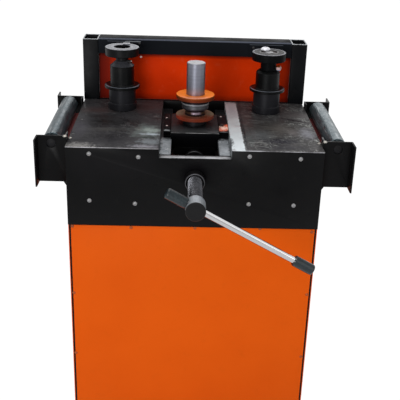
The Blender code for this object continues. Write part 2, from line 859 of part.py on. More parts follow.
def side_rollers():
    """A fixed axle between each pair of brackets, and the tube that turns on it."""
    front_end = BRACKET_DEPTH + AXLE_RECESS
    rear_end = TABLE_DEPTH - front_end
    shoulder = BRACKET_DEPTH + BRACKET_SHEET + AXLE_BOSS_LENGTH
    axle_profile = [
        (0.0, rear_end),
        (AXLE_BOSS_RADIUS, rear_end),
        (AXLE_BOSS_RADIUS, TABLE_DEPTH - shoulder),
        (AXLE_RADIUS, TABLE_DEPTH - shoulder),
        (AXLE_RADIUS, shoulder),
        (AXLE_BOSS_RADIUS, shoulder),
        (AXLE_BOSS_RADIUS, front_end),
        (0.0, front_end),
    ]
    low = shoulder + IDLER_END_GAP
    high = TABLE_DEPTH - low
    bore = AXLE_RADIUS + RUNNING
    inside = IDLER_RADIUS - IDLER_WALL
    tube_profile = [
        (IDLER_RADIUS, high),
        (IDLER_RADIUS, low),
        (bore, low),
        (bore, low + IDLER_CAP),
        (inside, low + IDLER_CAP),
        (inside, high - IDLER_CAP),
        (bore, high - IDLER_CAP),
        (bore, high),
    ]
    for side, word in SIDES.items():
        place = (side * IDLER_REACH, FRONT_Y, z_at(IDLER_LEVEL))
        turned(f"{word}_roller_axle", axle_profile, place, "Y", "bright_steel")
        turned(f"{word}_roller_tube", tube_profile, place, "Y", "galvanised", closed=True)


def bearing_housings():
    """Flanged housings under the table that the rear spindles turn in."""
    top = RAIL_TOP
    outer = [
        (HOUSING_FLANGE_RADIUS, top),
        (HOUSING_FLANGE_RADIUS, top - HOUSING_FLANGE_THICK),
        (HOUSING_RADIUS, top - HOUSING_FLANGE_THICK),
        (HOUSING_RADIUS, top - HOUSING_LENGTH),
    ]
    for side, word in SIDES.items():
        place = (side * SPINDLE_X, y_at(REAR_SPINDLE_DEPTH), TABLE_HEIGHT)
        ring(f"{word}_bearing_housing", outer, REAR_SHAFT_RADIUS + RUNNING, place, "Z", "dark_steel")


def gear_deck():
    """Plate between the posts, under the gears, that the gearbox hangs from."""
    deck = box(
        "gear_deck",
        span(0.0, INNER_HALF),
        (y_at(FRAME_FRONT + DECK_END_GAP), y_at(CABINET_DEPTH - DECK_END_GAP)),
        (z_at(DECK_LEVEL - DECK_THICK), z_at(DECK_LEVEL)),
        "black_paint",
    )
    cut_hole(
        deck,
        "deck_shaft_hole",
        DECK_BORE_RADIUS,
        (0.0, y_at(REAR_SPINDLE_DEPTH), z_at(DECK_LEVEL - DECK_THICK / 2)),
        "Z",
        DECK_THICK + OVERRUN,
    )


def gearbox():
    """Worm gearbox under the deck, with the motor's flange on its right side."""
    middle = y_at(REAR_SPINDLE_DEPTH)
    case = box(
        "gearbox",
        span(0.0, GEARBOX_WIDTH / 2),
        span(middle, GEARBOX_DEPTH / 2),
        (z_at(GEARBOX_TOP - GEARBOX_HEIGHT), z_at(GEARBOX_TOP)),
        "dark_steel",
    )
    bevel(case, GEARBOX_BEVEL)
    flange_near = GEARBOX_WIDTH / 2 - MOTOR_FLANGE_THICK
    flange = rod_mesh(
        "input_flange",
        MOTOR_FLANGE_RADIUS,
        2 * MOTOR_FLANGE_THICK,
        Vector((flange_near + MOTOR_FLANGE_THICK, middle, z_at(MOTOR_LEVEL))),
        AXIS_TURNS["X"],
        ROUND_STEPS,
    )
    combine(case, add_cutter("input_flange", flange), "UNION")
    cut_hole(
        case,
        "gearbox_bore",
        REAR_SHAFT_RADIUS + RUNNING,
        (0.0, middle, z_at(GEARBOX_TOP)),
        "Z",
        2 * (OUTPUT_DEPTH + RUNNING),
    )


def fin_outline():
    """The motor body's section: a round barrel with straight cooling fins."""
    points = []
    pitch = 2 * pi / MOTOR_FIN_COUNT
    tip = MOTOR_RADIUS + MOTOR_FIN_HEIGHT
    fin_shares = ((-0.25, MOTOR_RADIUS), (-0.17, tip), (0.17, tip), (0.25, MOTOR_RADIUS))
    for index in range(MOTOR_FIN_COUNT):
        for share, radius in fin_shares:
            angle = pitch * (index + share)
            points.append((radius * cos(angle), radius * sin(angle)))
    return points


def motor_housing():
    """Finned motor with a mounting flange, a fan cover and a terminal box on its front."""
    near = GEARBOX_WIDTH / 2 + MOTOR_FLANGE_THICK + SEAT
    middle = y_at(REAR_SPINDLE_DEPTH)
    level = z_at(MOTOR_LEVEL)
    body_near = near + MOTOR_FLANGE_THICK / 2
    mesh = outline_mesh("motor_housing", fin_outline(), MOTOR_LENGTH, AXIS_TURNS["X"])
    motor = add_part("motor_housing", mesh, "motor_grey")
    motor.location = (body_near + MOTOR_LENGTH / 2, middle, level)
    cover_near = body_near + MOTOR_LENGTH - MOTOR_FLANGE_THICK / 2
    ends = {
        "motor_flange": (near, near + MOTOR_FLANGE_THICK),
        "fan_cover": (cover_near, cover_near + FAN_COVER_LENGTH),
    }
    for name, (low, high) in ends.items():
        centre = Vector(((low + high) / 2, middle, level))
        disc = rod_mesh(name, MOTOR_FLANGE_RADIUS, high - low, centre, AXIS_TURNS["X"], ROUND_STEPS)
        combine(motor, add_cutter(name, disc), "UNION")
    width, depth, height = TERMINAL_BOX
    centre_x = body_near + MOTOR_LENGTH / 2
    face = middle - MOTOR_RADIUS
    join_box(
        motor,
        "terminal_box",
        span(centre_x, width / 2),
        (face - depth, face + depth / 2),
        span(level, height / 2),
    )


def electrical_box():
    """Contactor box on the inside of the rear panel."""
    width, depth, height = ELECTRIC_BOX
    case = box(
        "electrical_box",
        span(ELECTRIC_X, width / 2),
        (y_at(CABINET_DEPTH - depth), y_at(CABINET_DEPTH)),
        (z_at(ELECTRIC_LEVEL - height), z_at(ELECTRIC_LEVEL)),
        "light_enamel",
    )
    bevel(case, BOX_BEVEL)


def cable_gland():
    """Gland in the rear panel where the cord goes in."""
    foot = CABINET_DEPTH + SEAT
    face = foot + SHEET + SEAT
    far = face + GLAND_LENGTH
    outer = [
        (GLAND_NUT_RADIUS - CHAMFER, far),
        (GLAND_NUT_RADIUS, far - CHAMFER),
        (GLAND_NUT_RADIUS, face + GLAND_BODY_LENGTH),
        (GLAND_BODY_RADIUS, face + GLAND_BODY_LENGTH),
        (GLAND_BODY_RADIUS, face),
        (GLAND_THREAD_RADIUS, face),
        (GLAND_THREAD_RADIUS, foot),
    ]
    place = (ELECTRIC_X, FRONT_Y, z_at(GLAND_LEVEL))
    ring("cable_gland", outer, GLAND_BORE_RADIUS, place, "Y", "gland_nylon", steps=18)


def carriage_block():
    """Sliding block: a top plate, an ear on each side over the ledges, and a stem between them."""
    plate = CARRIAGE_PLATE_WIDTH / 2
    left, right = WING_REACH[-1], WING_REACH[1]
    ear_bottom = RAIL_TOP + RUNNING
    stem_bottom = KEEPER_TOP + SEAT
    depths = (y_at(CARRIAGE_FRONT), y_at(CARRIAGE_REAR))
    block = box(
        "carriage_block",
        span(0.0, plate),
        depths,
        (z_at(ear_bottom), z_at(-CARRIAGE_DROP)),
        "table_steel",
    )
    bevel(block, CARRIAGE_BEVEL)
    join_box(
        block,
        "carriage_ears",
        (-left, right),
        (y_at(WING_FRONT), y_at(CARRIAGE_REAR - SEAT)),
        (z_at(ear_bottom), z_at(EAR_TOP)),
    )
    join_box(
        block,
        "carriage_stem",
        span(0.0, STEM_HALF),
        (y_at(CARRIAGE_FRONT + SEAT), y_at(CARRIAGE_REAR - SEAT)),
        (z_at(stem_bottom), z_at(EAR_TOP)),
    )
    cut_hole(
        block,
        "block_spindle_bore",
        CENTRE_SHAFT_RADIUS + RUNNING,
        (0.0, y_at(CENTRE_DEPTH), z_at(RAIL_TOP)),
        "Z",
        2 * PLATE_THICK + 2 * RAIL_THICK,
    )


def wing_strips():
    """Strips screwed down on the carriage's ears, close to the table plates."""
    near = CARRIAGE_PLATE_WIDTH / 2 + WING_SIDE_GAP
    for side, word in SIDES.items():
        strip = box(
            f"{word}_gib_strip",
            side_span(side, near, WING_REACH[side]),
            (y_at(WING_FRONT), y_at(CARRIAGE_REAR)),
            (z_at(EAR_TOP + SEAT), z_at(-CARRIAGE_DROP)),
            "table_steel",
        )
        bevel(strip, CARRIAGE_BEVEL)


def keeper_block():
    """Block under the ledges that holds the carriage down and takes the screw's end."""
    wide = KEEPER_WIDTH / 2
    narrow = SCREW_BLOCK_WIDTH / 2
    block = box(
        "keeper_block",
        span(0.0, narrow),
        (y_at(CARRIAGE_FRONT), y_at(CARRIAGE_REAR)),
        (z_at(BLOCK_BOTTOM), z_at(KEEPER_TOP)),
        "dark_steel",
    )
    join_box(
        block,
        "keeper_wings",
        span(0.0, wide),
        (y_at(WING_FRONT), y_at(CARRIAGE_REAR - SEAT)),
        (z_at(KEEPER_BOTTOM), z_at(KEEPER_TOP)),
    )
    height = KEEPER_TOP - BLOCK_BOTTOM
    cut_hole(
        block,
        "keeper_spindle_bore",
        CENTRE_SHAFT_RADIUS + RUNNING,
        (0.0, y_at(CENTRE_DEPTH), z_at(BLOCK_BOTTOM + height / 2)),
        "Z",
        height + OVERRUN,
    )
    cut_hole(
        block,
        "keeper_journal_bore",
        JOURNAL_RADIUS + RUNNING,
        (0.0, y_at(CARRIAGE_FRONT), z_at(SCREW_LEVEL)),
        "Y",
        2 * (JOURNAL_LENGTH + RUNNING),
    )


def thrust_collar():
    """Ring on the front of the keeper block that the screw's shoulder turns against."""
    rear = CARRIAGE_FRONT - SEAT
    front = rear - COLLAR_LENGTH
    outer = [
        (COLLAR_RADIUS, rear),
        (COLLAR_RADIUS, front + CHAMFER),
        (COLLAR_RADIUS - CHAMFER, front),
    ]
    place = (0.0, FRONT_Y, z_at(SCREW_LEVEL))
    ring("thrust_collar", outer, JOURNAL_RADIUS + RUNNING, place, "Y", "dark_steel")


def lead_screw():
    """Screw with a journal in the carriage at its back and a pin in the handle at its front."""
    journal_end = CARRIAGE_FRONT + JOURNAL_LENGTH
    shoulder = CARRIAGE_FRONT - SEAT - COLLAR_LENGTH - RUNNING
    socket_pin = SOCKET_RADIUS
    profile = [
        (0.0, journal_end),
        (JOURNAL_RADIUS - CHAMFER, journal_end),
        (JOURNAL_RADIUS, journal_end - CHAMFER),
        (JOURNAL_RADIUS, shoulder),
        (SCREW_RADIUS, shoulder),
        (SCREW_RADIUS, HANDLE_REAR + SEAT),
        (socket_pin, HANDLE_REAR + SEAT),
        (socket_pin, HANDLE_REAR - SOCKET_DEPTH),
        (0.0, HANDLE_REAR - SOCKET_DEPTH),
    ]
    place = (0.0, FRONT_Y, z_at(SCREW_LEVEL))
    turned("lead_screw", profile, place, "Y", "dark_steel")


BAR_TURN = Matrix.Rotation(pi / 2 + BAR_TILT, 4, "Y")


def handle_hub():
    """Boss on the screw's front end, cross-bored for the tommy bar."""
    socket = SOCKET_RADIUS + SEAT
    floor = HANDLE_REAR - SOCKET_DEPTH - SEAT
    profile = [
        (0.0, floor),
        (socket, floor),
        (socket, HANDLE_REAR),
        (HANDLE_RADIUS - HANDLE_CHAMFER, HANDLE_REAR),
        (HANDLE_RADIUS, HANDLE_REAR - HANDLE_CHAMFER),
        (HANDLE_RADIUS, CHAMFER - HANDLE_FRONT),
        (HANDLE_RADIUS - CHAMFER, -HANDLE_FRONT),
        (0.0, -HANDLE_FRONT),
    ]
    place = (0.0, FRONT_Y, z_at(SCREW_LEVEL))
    hub = turned("handle_hub", profile, place, "Y", "dark_steel")
    cut_hole(
        hub,
        "tommy_bar_hole",
        BAR_RADIUS + SEAT,
        (0.0, y_at(BAR_DEPTH), z_at(SCREW_LEVEL)),
        BAR_TURN,
        2 * HANDLE_RADIUS + OVERRUN,
    )


def tommy_bar():
    """Bar that slides through the handle hub, with a grip on each end."""
    place = (0.0, y_at(BAR_DEPTH), z_at(SCREW_LEVEL))
    far = OUTER_GRIP_FAR - GRIP_WALL - SEAT
    near = -(INNER_GRIP_FAR - GRIP_WALL - SEAT)
    bar = [
        (0.0, far),
        (BAR_RADIUS, far),
        (BAR_RADIUS, near),
        (0.0, near),
    ]
    turned("tommy_bar", bar, place, BAR_TURN, "chrome", steps=24)
    bore = BAR_RADIUS + SEAT
    outer_mouth = OUTER_GRIP_FAR - GRIP_LENGTH
    outer_grip = [
        (0.0, OUTER_GRIP_FAR),
        (GRIP_RADIUS - GRIP_ROUND, OUTER_GRIP_FAR),
        (GRIP_RADIUS, OUTER_GRIP_FAR - GRIP_ROUND),
        (GRIP_RADIUS, outer_mouth + CHAMFER),
        (GRIP_RADIUS - CHAMFER, outer_mouth),
        (bore, outer_mouth),
        (bore, OUTER_GRIP_FAR - GRIP_WALL),
        (0.0, OUTER_GRIP_FAR - GRIP_WALL),
    ]
    turned("outer_grip", outer_grip, place, BAR_TURN, "grip_plastic", steps=24)
    inner_grip = [
        (0.0, -(INNER_GRIP_FAR - GRIP_WALL)),
        (bore, -(INNER_GRIP_FAR - GRIP_WALL)),
        (bore, -INNER_GRIP_NEAR),
        (GRIP_RADIUS - CHAMFER, -INNER_GRIP_NEAR),
        (GRIP_RADIUS, -INNER_GRIP_NEAR - CHAMFER),
        (GRIP_RADIUS, -(INNER_GRIP_FAR - GRIP_ROUND)),
        (GRIP_RADIUS - GRIP_ROUND, -INNER_GRIP_FAR),
        (0.0, -INNER_GRIP_FAR),
    ]
    turned("inner_grip", inner_grip, place, BAR_TURN, "grip_plastic", steps=24)


def centre_spindle():
    """Shaft through the carriage, with a grooved hub between two flanges."""
    place = (0.0, y_at(CENTRE_DEPTH), TABLE_HEIGHT)
    collar_top = LOWER_FLANGE_LEVEL - SEAT
    foot_top = BLOCK_BOTTOM - RUNNING
    foot_bottom = foot_top - CENTRE_FOOT_THICK
    shaft = [
        (0.0, CENTRE_SHAFT_TOP),
        (CENTRE_SHAFT_RADIUS - CHAMFER, CENTRE_SHAFT_TOP),
        (CENTRE_SHAFT_RADIUS, CENTRE_SHAFT_TOP - CHAMFER),
        (CENTRE_SHAFT_RADIUS, collar_top),
        (SHAFT_COLLAR_RADIUS, collar_top),
        (SHAFT_COLLAR_RADIUS, RUNNING - CARRIAGE_DROP),
        (CENTRE_SHAFT_RADIUS, RUNNING - CARRIAGE_DROP),
        (CENTRE_SHAFT_RADIUS, foot_top),
        (CENTRE_FOOT_RADIUS, foot_top),
        (CENTRE_FOOT_RADIUS, foot_bottom),
        (0.0, foot_bottom),
    ]
    turned("centre_shaft", shaft, place, "Z", "bright_steel")
    bore = CENTRE_SHAFT_RADIUS + SEAT
    flanges = {
        "centre_lower_flange": (LOWER_FLANGE_LEVEL, LOWER_FLANGE_THICK, "worn_orange"),
        "centre_upper_flange": (UPPER_FLANGE_LEVEL, UPPER_FLANGE_THICK, "worn_orange"),
    }
    for name, (low, thick, finish) in flanges.items():
        high = low + thick
        disc = [
            (CENTRE_FLANGE_RADIUS - FLANGE_EDGE, high),
            (CENTRE_FLANGE_RADIUS, high - FLANGE_EDGE),
            (CENTRE_FLANGE_RADIUS, low + FLANGE_EDGE),
            (CENTRE_FLANGE_RADIUS - FLANGE_EDGE, low),
        ]
        ring(name, disc, bore, place, "Z", finish)
    low = LOWER_FLANGE_LEVEL + LOWER_FLANGE_THICK + SEAT
    high = UPPER_FLANGE_LEVEL - SEAT
    step = (high - low) * HUB_RIM_SHARE
    hub = [
        (CENTRE_HUB_RADIUS, high),
        (CENTRE_HUB_RADIUS, high - step),
        (CENTRE_HUB_RADIUS - HUB_GROOVE, high - step - HUB_GROOVE),
        (CENTRE_HUB_RADIUS - HUB_GROOVE, low),
    ]
    ring("centre_roller_hub", hub, bore, place, "Z", "bright_steel")


def rear_shaft(side, word, place):
    """Driven shaft, thinner above the sleeve, with a foot under its gear."""
    shoulder = SLEEVE_TOP[side] - SEAT
    foot_top = GEAR_BOTTOM - SEAT
    foot_bottom = foot_top - SHAFT_FOOT_THICK
    top = SHAFT_TOP[side]
    profile = [
        (0.0, top),
        (SHAFT_END_RADIUS - CHAMFER, top),
        (SHAFT_END_RADIUS, top - CHAMFER),
        (SHAFT_END_RADIUS, shoulder),
        (REAR_SHAFT_RADIUS, shoulder),
        (REAR_SHAFT_RADIUS, foot_top),
        (SHAFT_FOOT_RADIUS, foot_top),
        (SHAFT_FOOT_RADIUS, foot_bottom),
        (0.0, foot_bottom),
    ]
    turned(f"{word}_spindle_shaft", profile, place, "Z", "bright_steel")


def rear_roller(word, place):
    """Roller hub with a smaller flange at its foot."""
    outer = [
        (REAR_HUB_RADIUS, REAR_HUB_TOP),
        (REAR_HUB_RADIUS, ROLLER_BASE_HEIGHT),
        (ROLLER_BASE_RADIUS, ROLLER_BASE_HEIGHT),
        (ROLLER_BASE_RADIUS, RUNNING),
    ]
    ring(f"{word}_spindle_roller", outer, REAR_SHAFT_RADIUS + SEAT, place, "Z", "dark_steel")


def sleeve_crown(side):
    """Outline of a sleeve's top, square under the left nut's cone and tapered on the right."""
    top = SLEEVE_TOP[side]
    if side < 0:
        return [(SLEEVE_RADIUS, top)]
    return [
        (SLEEVE_RADIUS - RIGHT_SLEEVE_TAPER, top),
        (SLEEVE_RADIUS, top - RIGHT_SLEEVE_TAPER),
    ]


def rear_sleeve(side, word, place):
    """Flanged sleeve that keeps the pipe down."""
    low = REAR_HUB_TOP + SEAT
    flange_top = low + SLEEVE_FLANGE_THICK
    outer = sleeve_crown(side) + [
        (SLEEVE_RADIUS, flange_top),
        (SLEEVE_FLANGE_RADIUS - CHAMFER, flange_top),
        (SLEEVE_FLANGE_RADIUS, flange_top - CHAMFER),
        (SLEEVE_FLANGE_RADIUS, low),
    ]
    ring(f"{word}_flanged_sleeve", outer, REAR_SHAFT_RADIUS + SEAT, place, "Z", "dark_steel")


def nut_hub(side, low, disc_low):
    """Outline of a nut's neck, which on the left one spreads into a cone as wide as the sleeve."""
    neck = NUT_HUB_RADIUS[side]
    if side > 0:
        return [(neck, disc_low), (neck, low)]
    return [(neck, disc_low), (neck, low + LEFT_NUT_CONE), (SLEEVE_RADIUS, low)]


def clamp_nut(side, word, place):
    """Hand-sized round nut on a neck, recessed in its top face."""
    low = SLEEVE_TOP[side] + SEAT
    disc_low = low + NUT_HUB_LENGTH[side]
    high = disc_low + NUT_DISC_THICK
    floor = high - NUT_RECESS_DEPTH[side]
    bore = SHAFT_END_RADIUS + SEAT
    profile = [
        (NUT_RECESS_RADIUS, high),
        (NUT_DISC_RADIUS - CHAMFER, high),
        (NUT_DISC_RADIUS, high - CHAMFER),
        (NUT_DISC_RADIUS, disc_low),
        *nut_hub(side, low, disc_low),
        (bore, low),
        (bore, floor),
        (NUT_RECESS_RADIUS, floor),
    ]
    turned(f"{word}_clamp_nut", profile, place, "Z", "dark_steel", closed=True)


def involute(angle):
    """How far an involute has turned where its pressure angle is this one."""
    return tan(angle) - angle


def gear_outline(teeth, first_tooth):
    """A spur gear's outline with involute flanks, thinned for backlash."""
    pitch_radius = GEAR_MODULE * teeth / 2
    base_radius = pitch_radius * cos(PRESSURE_ANGLE)
    tip_radius = pitch_radius + ADDENDUM_SHARE * GEAR_MODULE
    root_radius = pitch_radius - DEDENDUM_SHARE * GEAR_MODULE
    half_tooth = pi / (2 * teeth) - BACKLASH / (2 * pitch_radius)

    def flank(radius):
        slant = acos(min(1.0, base_radius / radius))
        return half_tooth + involute(PRESSURE_ANGLE) - involute(slant)

    steps = [(root_radius, flank(base_radius)), (pitch_radius, flank(pitch_radius))]
    steps.append((tip_radius, flank(tip_radius)))
    points = []
    for index in range(teeth):
        middle = first_tooth + 2 * pi * index / teeth
        rising = [(radius, middle - turn) for radius, turn in steps]
        falling = [(radius, middle + turn) for radius, turn in reversed(steps)]
        points += [(radius * cos(angle), radius * sin(angle)) for radius, angle in rising + falling]
    return points


def driven_first_tooth(direction):
    """Where a driven gear's first tooth stands, so that it meshes in this direction from the drive gear."""
    drive_pitch = 2 * pi / DRIVE_TEETH
    driven_pitch = 2 * pi / SPINDLE_TEETH
    past_tooth = direction % drive_pitch
    return direction + pi + past_tooth * DRIVE_TEETH / SPINDLE_TEETH + driven_pitch / 2


def spur_gear(name, teeth, first_tooth, place):
    """A gear with a plain bore for its shaft."""
    bore = circle(REAR_SHAFT_RADIUS + SEAT, ROUND_STEPS)
    mesh = outline_mesh(name, gear_outline(teeth, first_tooth), GEAR_FACE, PLAN, holes=[bore])
    mesh.transform(Matrix.Translation((0.0, 0.0, GEAR_LEVEL - GEAR_FACE / 2)))
    gear = add_part(name, mesh, "dark_steel")
    gear.location = place


def rear_spindles():
    """Both driven spindles, from their gears under the table to their nuts."""
    directions = {-1: pi, 1: 0.0}
    for side, word in SIDES.items():
        place = (side * SPINDLE_X, y_at(REAR_SPINDLE_DEPTH), TABLE_HEIGHT)
        rear_shaft(side, word, place)
        rear_roller(word, place)
        rear_sleeve(side, word, place)
        clamp_nut(side, word, place)
        spur_gear(f"{word}_spindle_gear", SPINDLE_TEETH, driven_first_tooth(directions[side]), place)


def drive():
    """Gear between the two spindle gears, on the gearbox's output shaft."""
    place = (0.0, y_at(REAR_SPINDLE_DEPTH), TABLE_HEIGHT)
    spur_gear("drive_gear", DRIVE_TEETH, 0.0, place)
    cap_low = GEAR_LEVEL + SEAT
    collar_top = GEAR_BOTTOM - SEAT
    profile = [
        (0.0, cap_low + OUTPUT_CAP_THICK),
        (OUTPUT_CAP_RADIUS, cap_low + OUTPUT_CAP_THICK),
        (OUTPUT_CAP_RADIUS, cap_low),
        (REAR_SHAFT_RADIUS, cap_low),
        (REAR_SHAFT_RADIUS, collar_top),
        (OUTPUT_COLLAR_RADIUS, collar_top),
        (OUTPUT_COLLAR_RADIUS, DECK_LEVEL + RUNNING),
        (REAR_SHAFT_RADIUS, DECK_LEVEL + RUNNING),
        (REAR_SHAFT_RADIUS, GEARBOX_TOP - OUTPUT_DEPTH),
        (0.0, GEARBOX_TOP - OUTPUT_DEPTH),
    ]
    turned("output_shaft", profile, place, "Z", "bright_steel")


MOVING_GROUPS = {
    "carriage": (
        "carriage_block left_gib_strip right_gib_strip keeper_block thrust_collar",
        (0.0, CARRIAGE_FRONT, SCREW_LEVEL),
    ),
    "screw": ("lead_screw handle_hub", (0.0, 0.0, SCREW_LEVEL)),
    "bar": ("tommy_bar inner_grip outer_grip", (0.0, BAR_DEPTH, SCREW_LEVEL)),
    "centre_spindle": (
        "centre_shaft centre_lower_flange centre_roller_hub centre_upper_flange",
        (0.0, CENTRE_DEPTH, 0.0),
    ),
    "left_spindle": (
        "left_spindle_shaft left_spindle_roller left_flanged_sleeve left_clamp_nut left_spindle_gear",
        (-SPINDLE_X, REAR_SPINDLE_DEPTH, 0.0),
    ),
    "right_spindle": (
        "right_spindle_shaft right_spindle_roller right_flanged_sleeve right_clamp_nut right_spindle_gear",
        (SPINDLE_X, REAR_SPINDLE_DEPTH, 0.0),
    ),
    "drive": ("drive_gear output_shaft", (0.0, REAR_SPINDLE_DEPTH, 0.0)),
}
CARRIED_BY = {"screw": "carriage", "bar": "screw", "centre_spindle": "carriage"}


def parent_in_place(child, parent, parent_place):
    """Parents an object without moving it."""
    child.parent = parent
    child.matrix_parent_inverse = Matrix.Translation(parent_place).inverted()


def group_moving_parts():
    """Parents each moving group to an empty on its own axis, and carried groups to their carrier."""
    empties = {}
    places = {}
    for name, (members, (across, depth, level)) in MOVING_GROUPS.items():
        empty = bpy.data.objects.new(name + "_motion", None)
        PARTS.objects.link(empty)
        places[name] = Vector((across, y_at(depth), z_at(level)))
        empty.location = places[name]
        empties[name] = empty
        for member in members.split():
            parent_in_place(bpy.data.objects[member], empty, places[name])
    for name, carrier in CARRIED_BY.items():
        parent_in_place(empties[name], empties[carrier], places[carrier])


def build():
    """Models every sub-part, outside first."""
    base_plate()
    posts()
    lower_rail()
    top_rail()
    backboard_panel()
    table_plates()
    guide_rails()
    front_crossbar()
    lead_nut()
    front_apron()
    front_panel()
    side_panels()
    rear_panel()
    brackets()
    side_rollers()
    bearing_housings()
    gear_deck()
    gearbox()
    motor_housing()
    electrical_box()
    cable_gland()
    carriage_block()
    wing_strips()
    keeper_block()
    thrust_collar()
    lead_screw()
    handle_hub()
    tommy_bar()
    centre_spindle()
    rear_spindles()
    drive()
    group_moving_parts()


build()
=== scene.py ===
"""Electric pipe bender: models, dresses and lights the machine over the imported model.

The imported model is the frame. Each sub-assembly is a class: it rounds or remodels its pieces,
adds the screws that hold them and gives each its finish. Lengths are in metres. Depths are
measured back from the table's front face and levels up from its top, as Datum says.
"""

import logging
from contextlib import contextmanager
from dataclasses import dataclass, replace
from enum import Enum
from math import cos, pi, radians, sin
from typing import Callable, Iterator, Optional, Sequence, Union

import bmesh
import bpy
from mathutils import Matrix, Vector


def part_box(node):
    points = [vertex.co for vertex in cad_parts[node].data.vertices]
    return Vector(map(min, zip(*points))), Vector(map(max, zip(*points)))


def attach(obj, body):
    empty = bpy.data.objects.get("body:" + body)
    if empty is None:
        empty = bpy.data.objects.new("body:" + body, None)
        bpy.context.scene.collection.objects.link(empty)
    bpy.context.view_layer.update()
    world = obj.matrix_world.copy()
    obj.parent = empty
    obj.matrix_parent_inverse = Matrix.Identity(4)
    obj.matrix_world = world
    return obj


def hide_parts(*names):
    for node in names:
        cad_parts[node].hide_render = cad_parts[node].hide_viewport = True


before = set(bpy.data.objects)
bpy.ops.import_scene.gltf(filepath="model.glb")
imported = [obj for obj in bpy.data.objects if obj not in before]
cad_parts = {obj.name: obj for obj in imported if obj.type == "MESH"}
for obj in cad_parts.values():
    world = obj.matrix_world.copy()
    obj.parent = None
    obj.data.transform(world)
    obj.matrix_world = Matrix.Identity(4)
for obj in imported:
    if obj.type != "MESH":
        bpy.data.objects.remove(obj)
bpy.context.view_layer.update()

Piece = bpy.types.Object
Socket = bpy.types.NodeSocket
Colour = tuple[float, float, float]
Value = Union[float, Socket]
Tint = Union[Colour, Socket]
Profile = Sequence[tuple[float, float]]
Test = Callable[[Vector, Vector], bool]
Range = tuple[float, float]
Input = Union[float, Colour, Vector, Socket]
Inputs = dict[Union[str, int], Input]
Place = tuple[str, Vector, Vector]

LOG = logging.getLogger("pipe_bender")
ROUND_STEPS = 96
BOLT_STEPS = 24
MERGE = 0.00001
SMOOTH_ANGLE = radians(32.0)
BEVEL_ANGLE = radians(28.0)
LEFT, RIGHT = -1, 1
WORDS = {LEFT: "left", RIGHT: "right"}
UP = Vector((0.0, 0.0, 1.0))
FRONT = Vector((0.0, -1.0, 0.0))
BACK = Vector((0.0, 1.0, 0.0))
ANY = (-9.0, 9.0)
WIDER = 20


class Axis(Enum):
    """A world axis that a turned piece turns about."""

    X = (1.0, 0.0, 0.0)
    Y = (0.0, 1.0, 0.0)
    Z = (0.0, 0.0, 1.0)

    def turn(self) -> Matrix:
        """The turn that lays Z along this axis."""
        return turn_to(Vector(self.value))


class Body(Enum):
    """The bodies of the frame."""

    FRAME = "frame"
    CARRIAGE = "carriage"
    SCREW = "lead_screw"
    BAR = "tommy_bar"
    CENTRE = "centre_spindle"
    LEFT_SPINDLE = "left_spindle"
    RIGHT_SPINDLE = "right_spindle"
    DRIVE = "drive"
    LEFT_ROLLER = "left_roller"
    RIGHT_ROLLER = "right_roller"


class Slot(Enum):
    """The material slots of the record."""

    ORANGE = "orange_paint"
    BLACK = "black_paint"
    TABLE = "table_steel"
    BRIGHT = "bright_steel"
    DARK = "dark_steel"
    ZINC = "galvanised"
    CHROME = "chrome"
    GRIP = "grip_plastic"
    WORN_ORANGE = "worn_orange"
    MOTOR = "motor_grey"
    BRONZE = "bronze"
    ENAMEL = "light_enamel"
    NYLON = "gland_nylon"


@dataclass(frozen=True)
class Datum:
    """The table's front face and top, which depths and levels are measured from.

    Attributes:
        front: The front face's place along Y.
        top: The top's height.
    """

    front: float
    top: float

    def at(self, across: float, depth: float, level: float) -> Vector:
        """World place of a point across, behind and above the table's front edge."""
        return Vector((across, self.front + depth, self.top + level))


DATUM = Datum(front=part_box("table_plate_left")[0].y, top=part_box("table_plate_left")[1].z)


def tone(red: float, green: float, blue: float) -> Colour:
    """A colour as the eye reads it, each part from 0 to 255, as linear light."""
    parts = (red / 255.0, green / 255.0, blue / 255.0)
    return tuple(part / 12.92 if part < 0.04045 else ((part + 0.055) / 1.055) ** 2.4 for part in parts)


def turn_to(direction: Vector) -> Matrix:
    """The turn that lays Z along a direction."""
    return UP.rotation_difference(direction).to_matrix().to_4x4()


def levels(node: str) -> tuple[float, float]:
    """A node's lowest and highest level above the table's top."""
    low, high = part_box(node)
    return low.z - DATUM.top, high.z - DATUM.top


def middle_of(node: str) -> Vector:
    """The middle of a node's box."""
    low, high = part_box(node)
    return (low + high) / 2


# Modelling, as by hand


def deselect_all() -> None:
    """Leaves nothing selected."""
    for piece in bpy.context.selected_objects:
        piece.select_set(False)


def activate(piece: Piece) -> None:
    """Selects a piece alone and makes it the active one.

    Args:
        piece: The piece.
    """
    deselect_all()
    piece.select_set(True)
    bpy.context.view_layer.objects.active = piece


@contextmanager
def edit_mode(piece: Piece) -> Iterator[None]:
    """Opens a piece in edit mode, all selected, and comes back to object mode.

    Args:
        piece: The piece to edit.
    """
    activate(piece)
    bpy.ops.object.mode_set(mode="EDIT")
    bpy.ops.mesh.select_all(action="SELECT")
    yield
    bpy.ops.object.mode_set(mode="OBJECT")


def shade(piece: Piece) -> Piece:
    """Shades a piece smooth but for its edges.

    Args:
        piece: The piece.

    Returns:
        The piece.
    """
    activate(piece)
    bpy.ops.object.shade_smooth_by_angle(angle=SMOOTH_ANGLE)
    return piece


def settle(piece: Piece, name: str) -> Piece:
    """Names a new piece, puts its place into its mesh and shades it smooth but for its edges.

    Args:
        piece: The new piece.
        name: Its name.

    Returns:
        The piece.
    """
    activate(piece)
    piece.name = name
    piece.data.name = name
    bpy.ops.object.transform_apply(location=True, rotation=True, scale=True)
    return shade(piece)


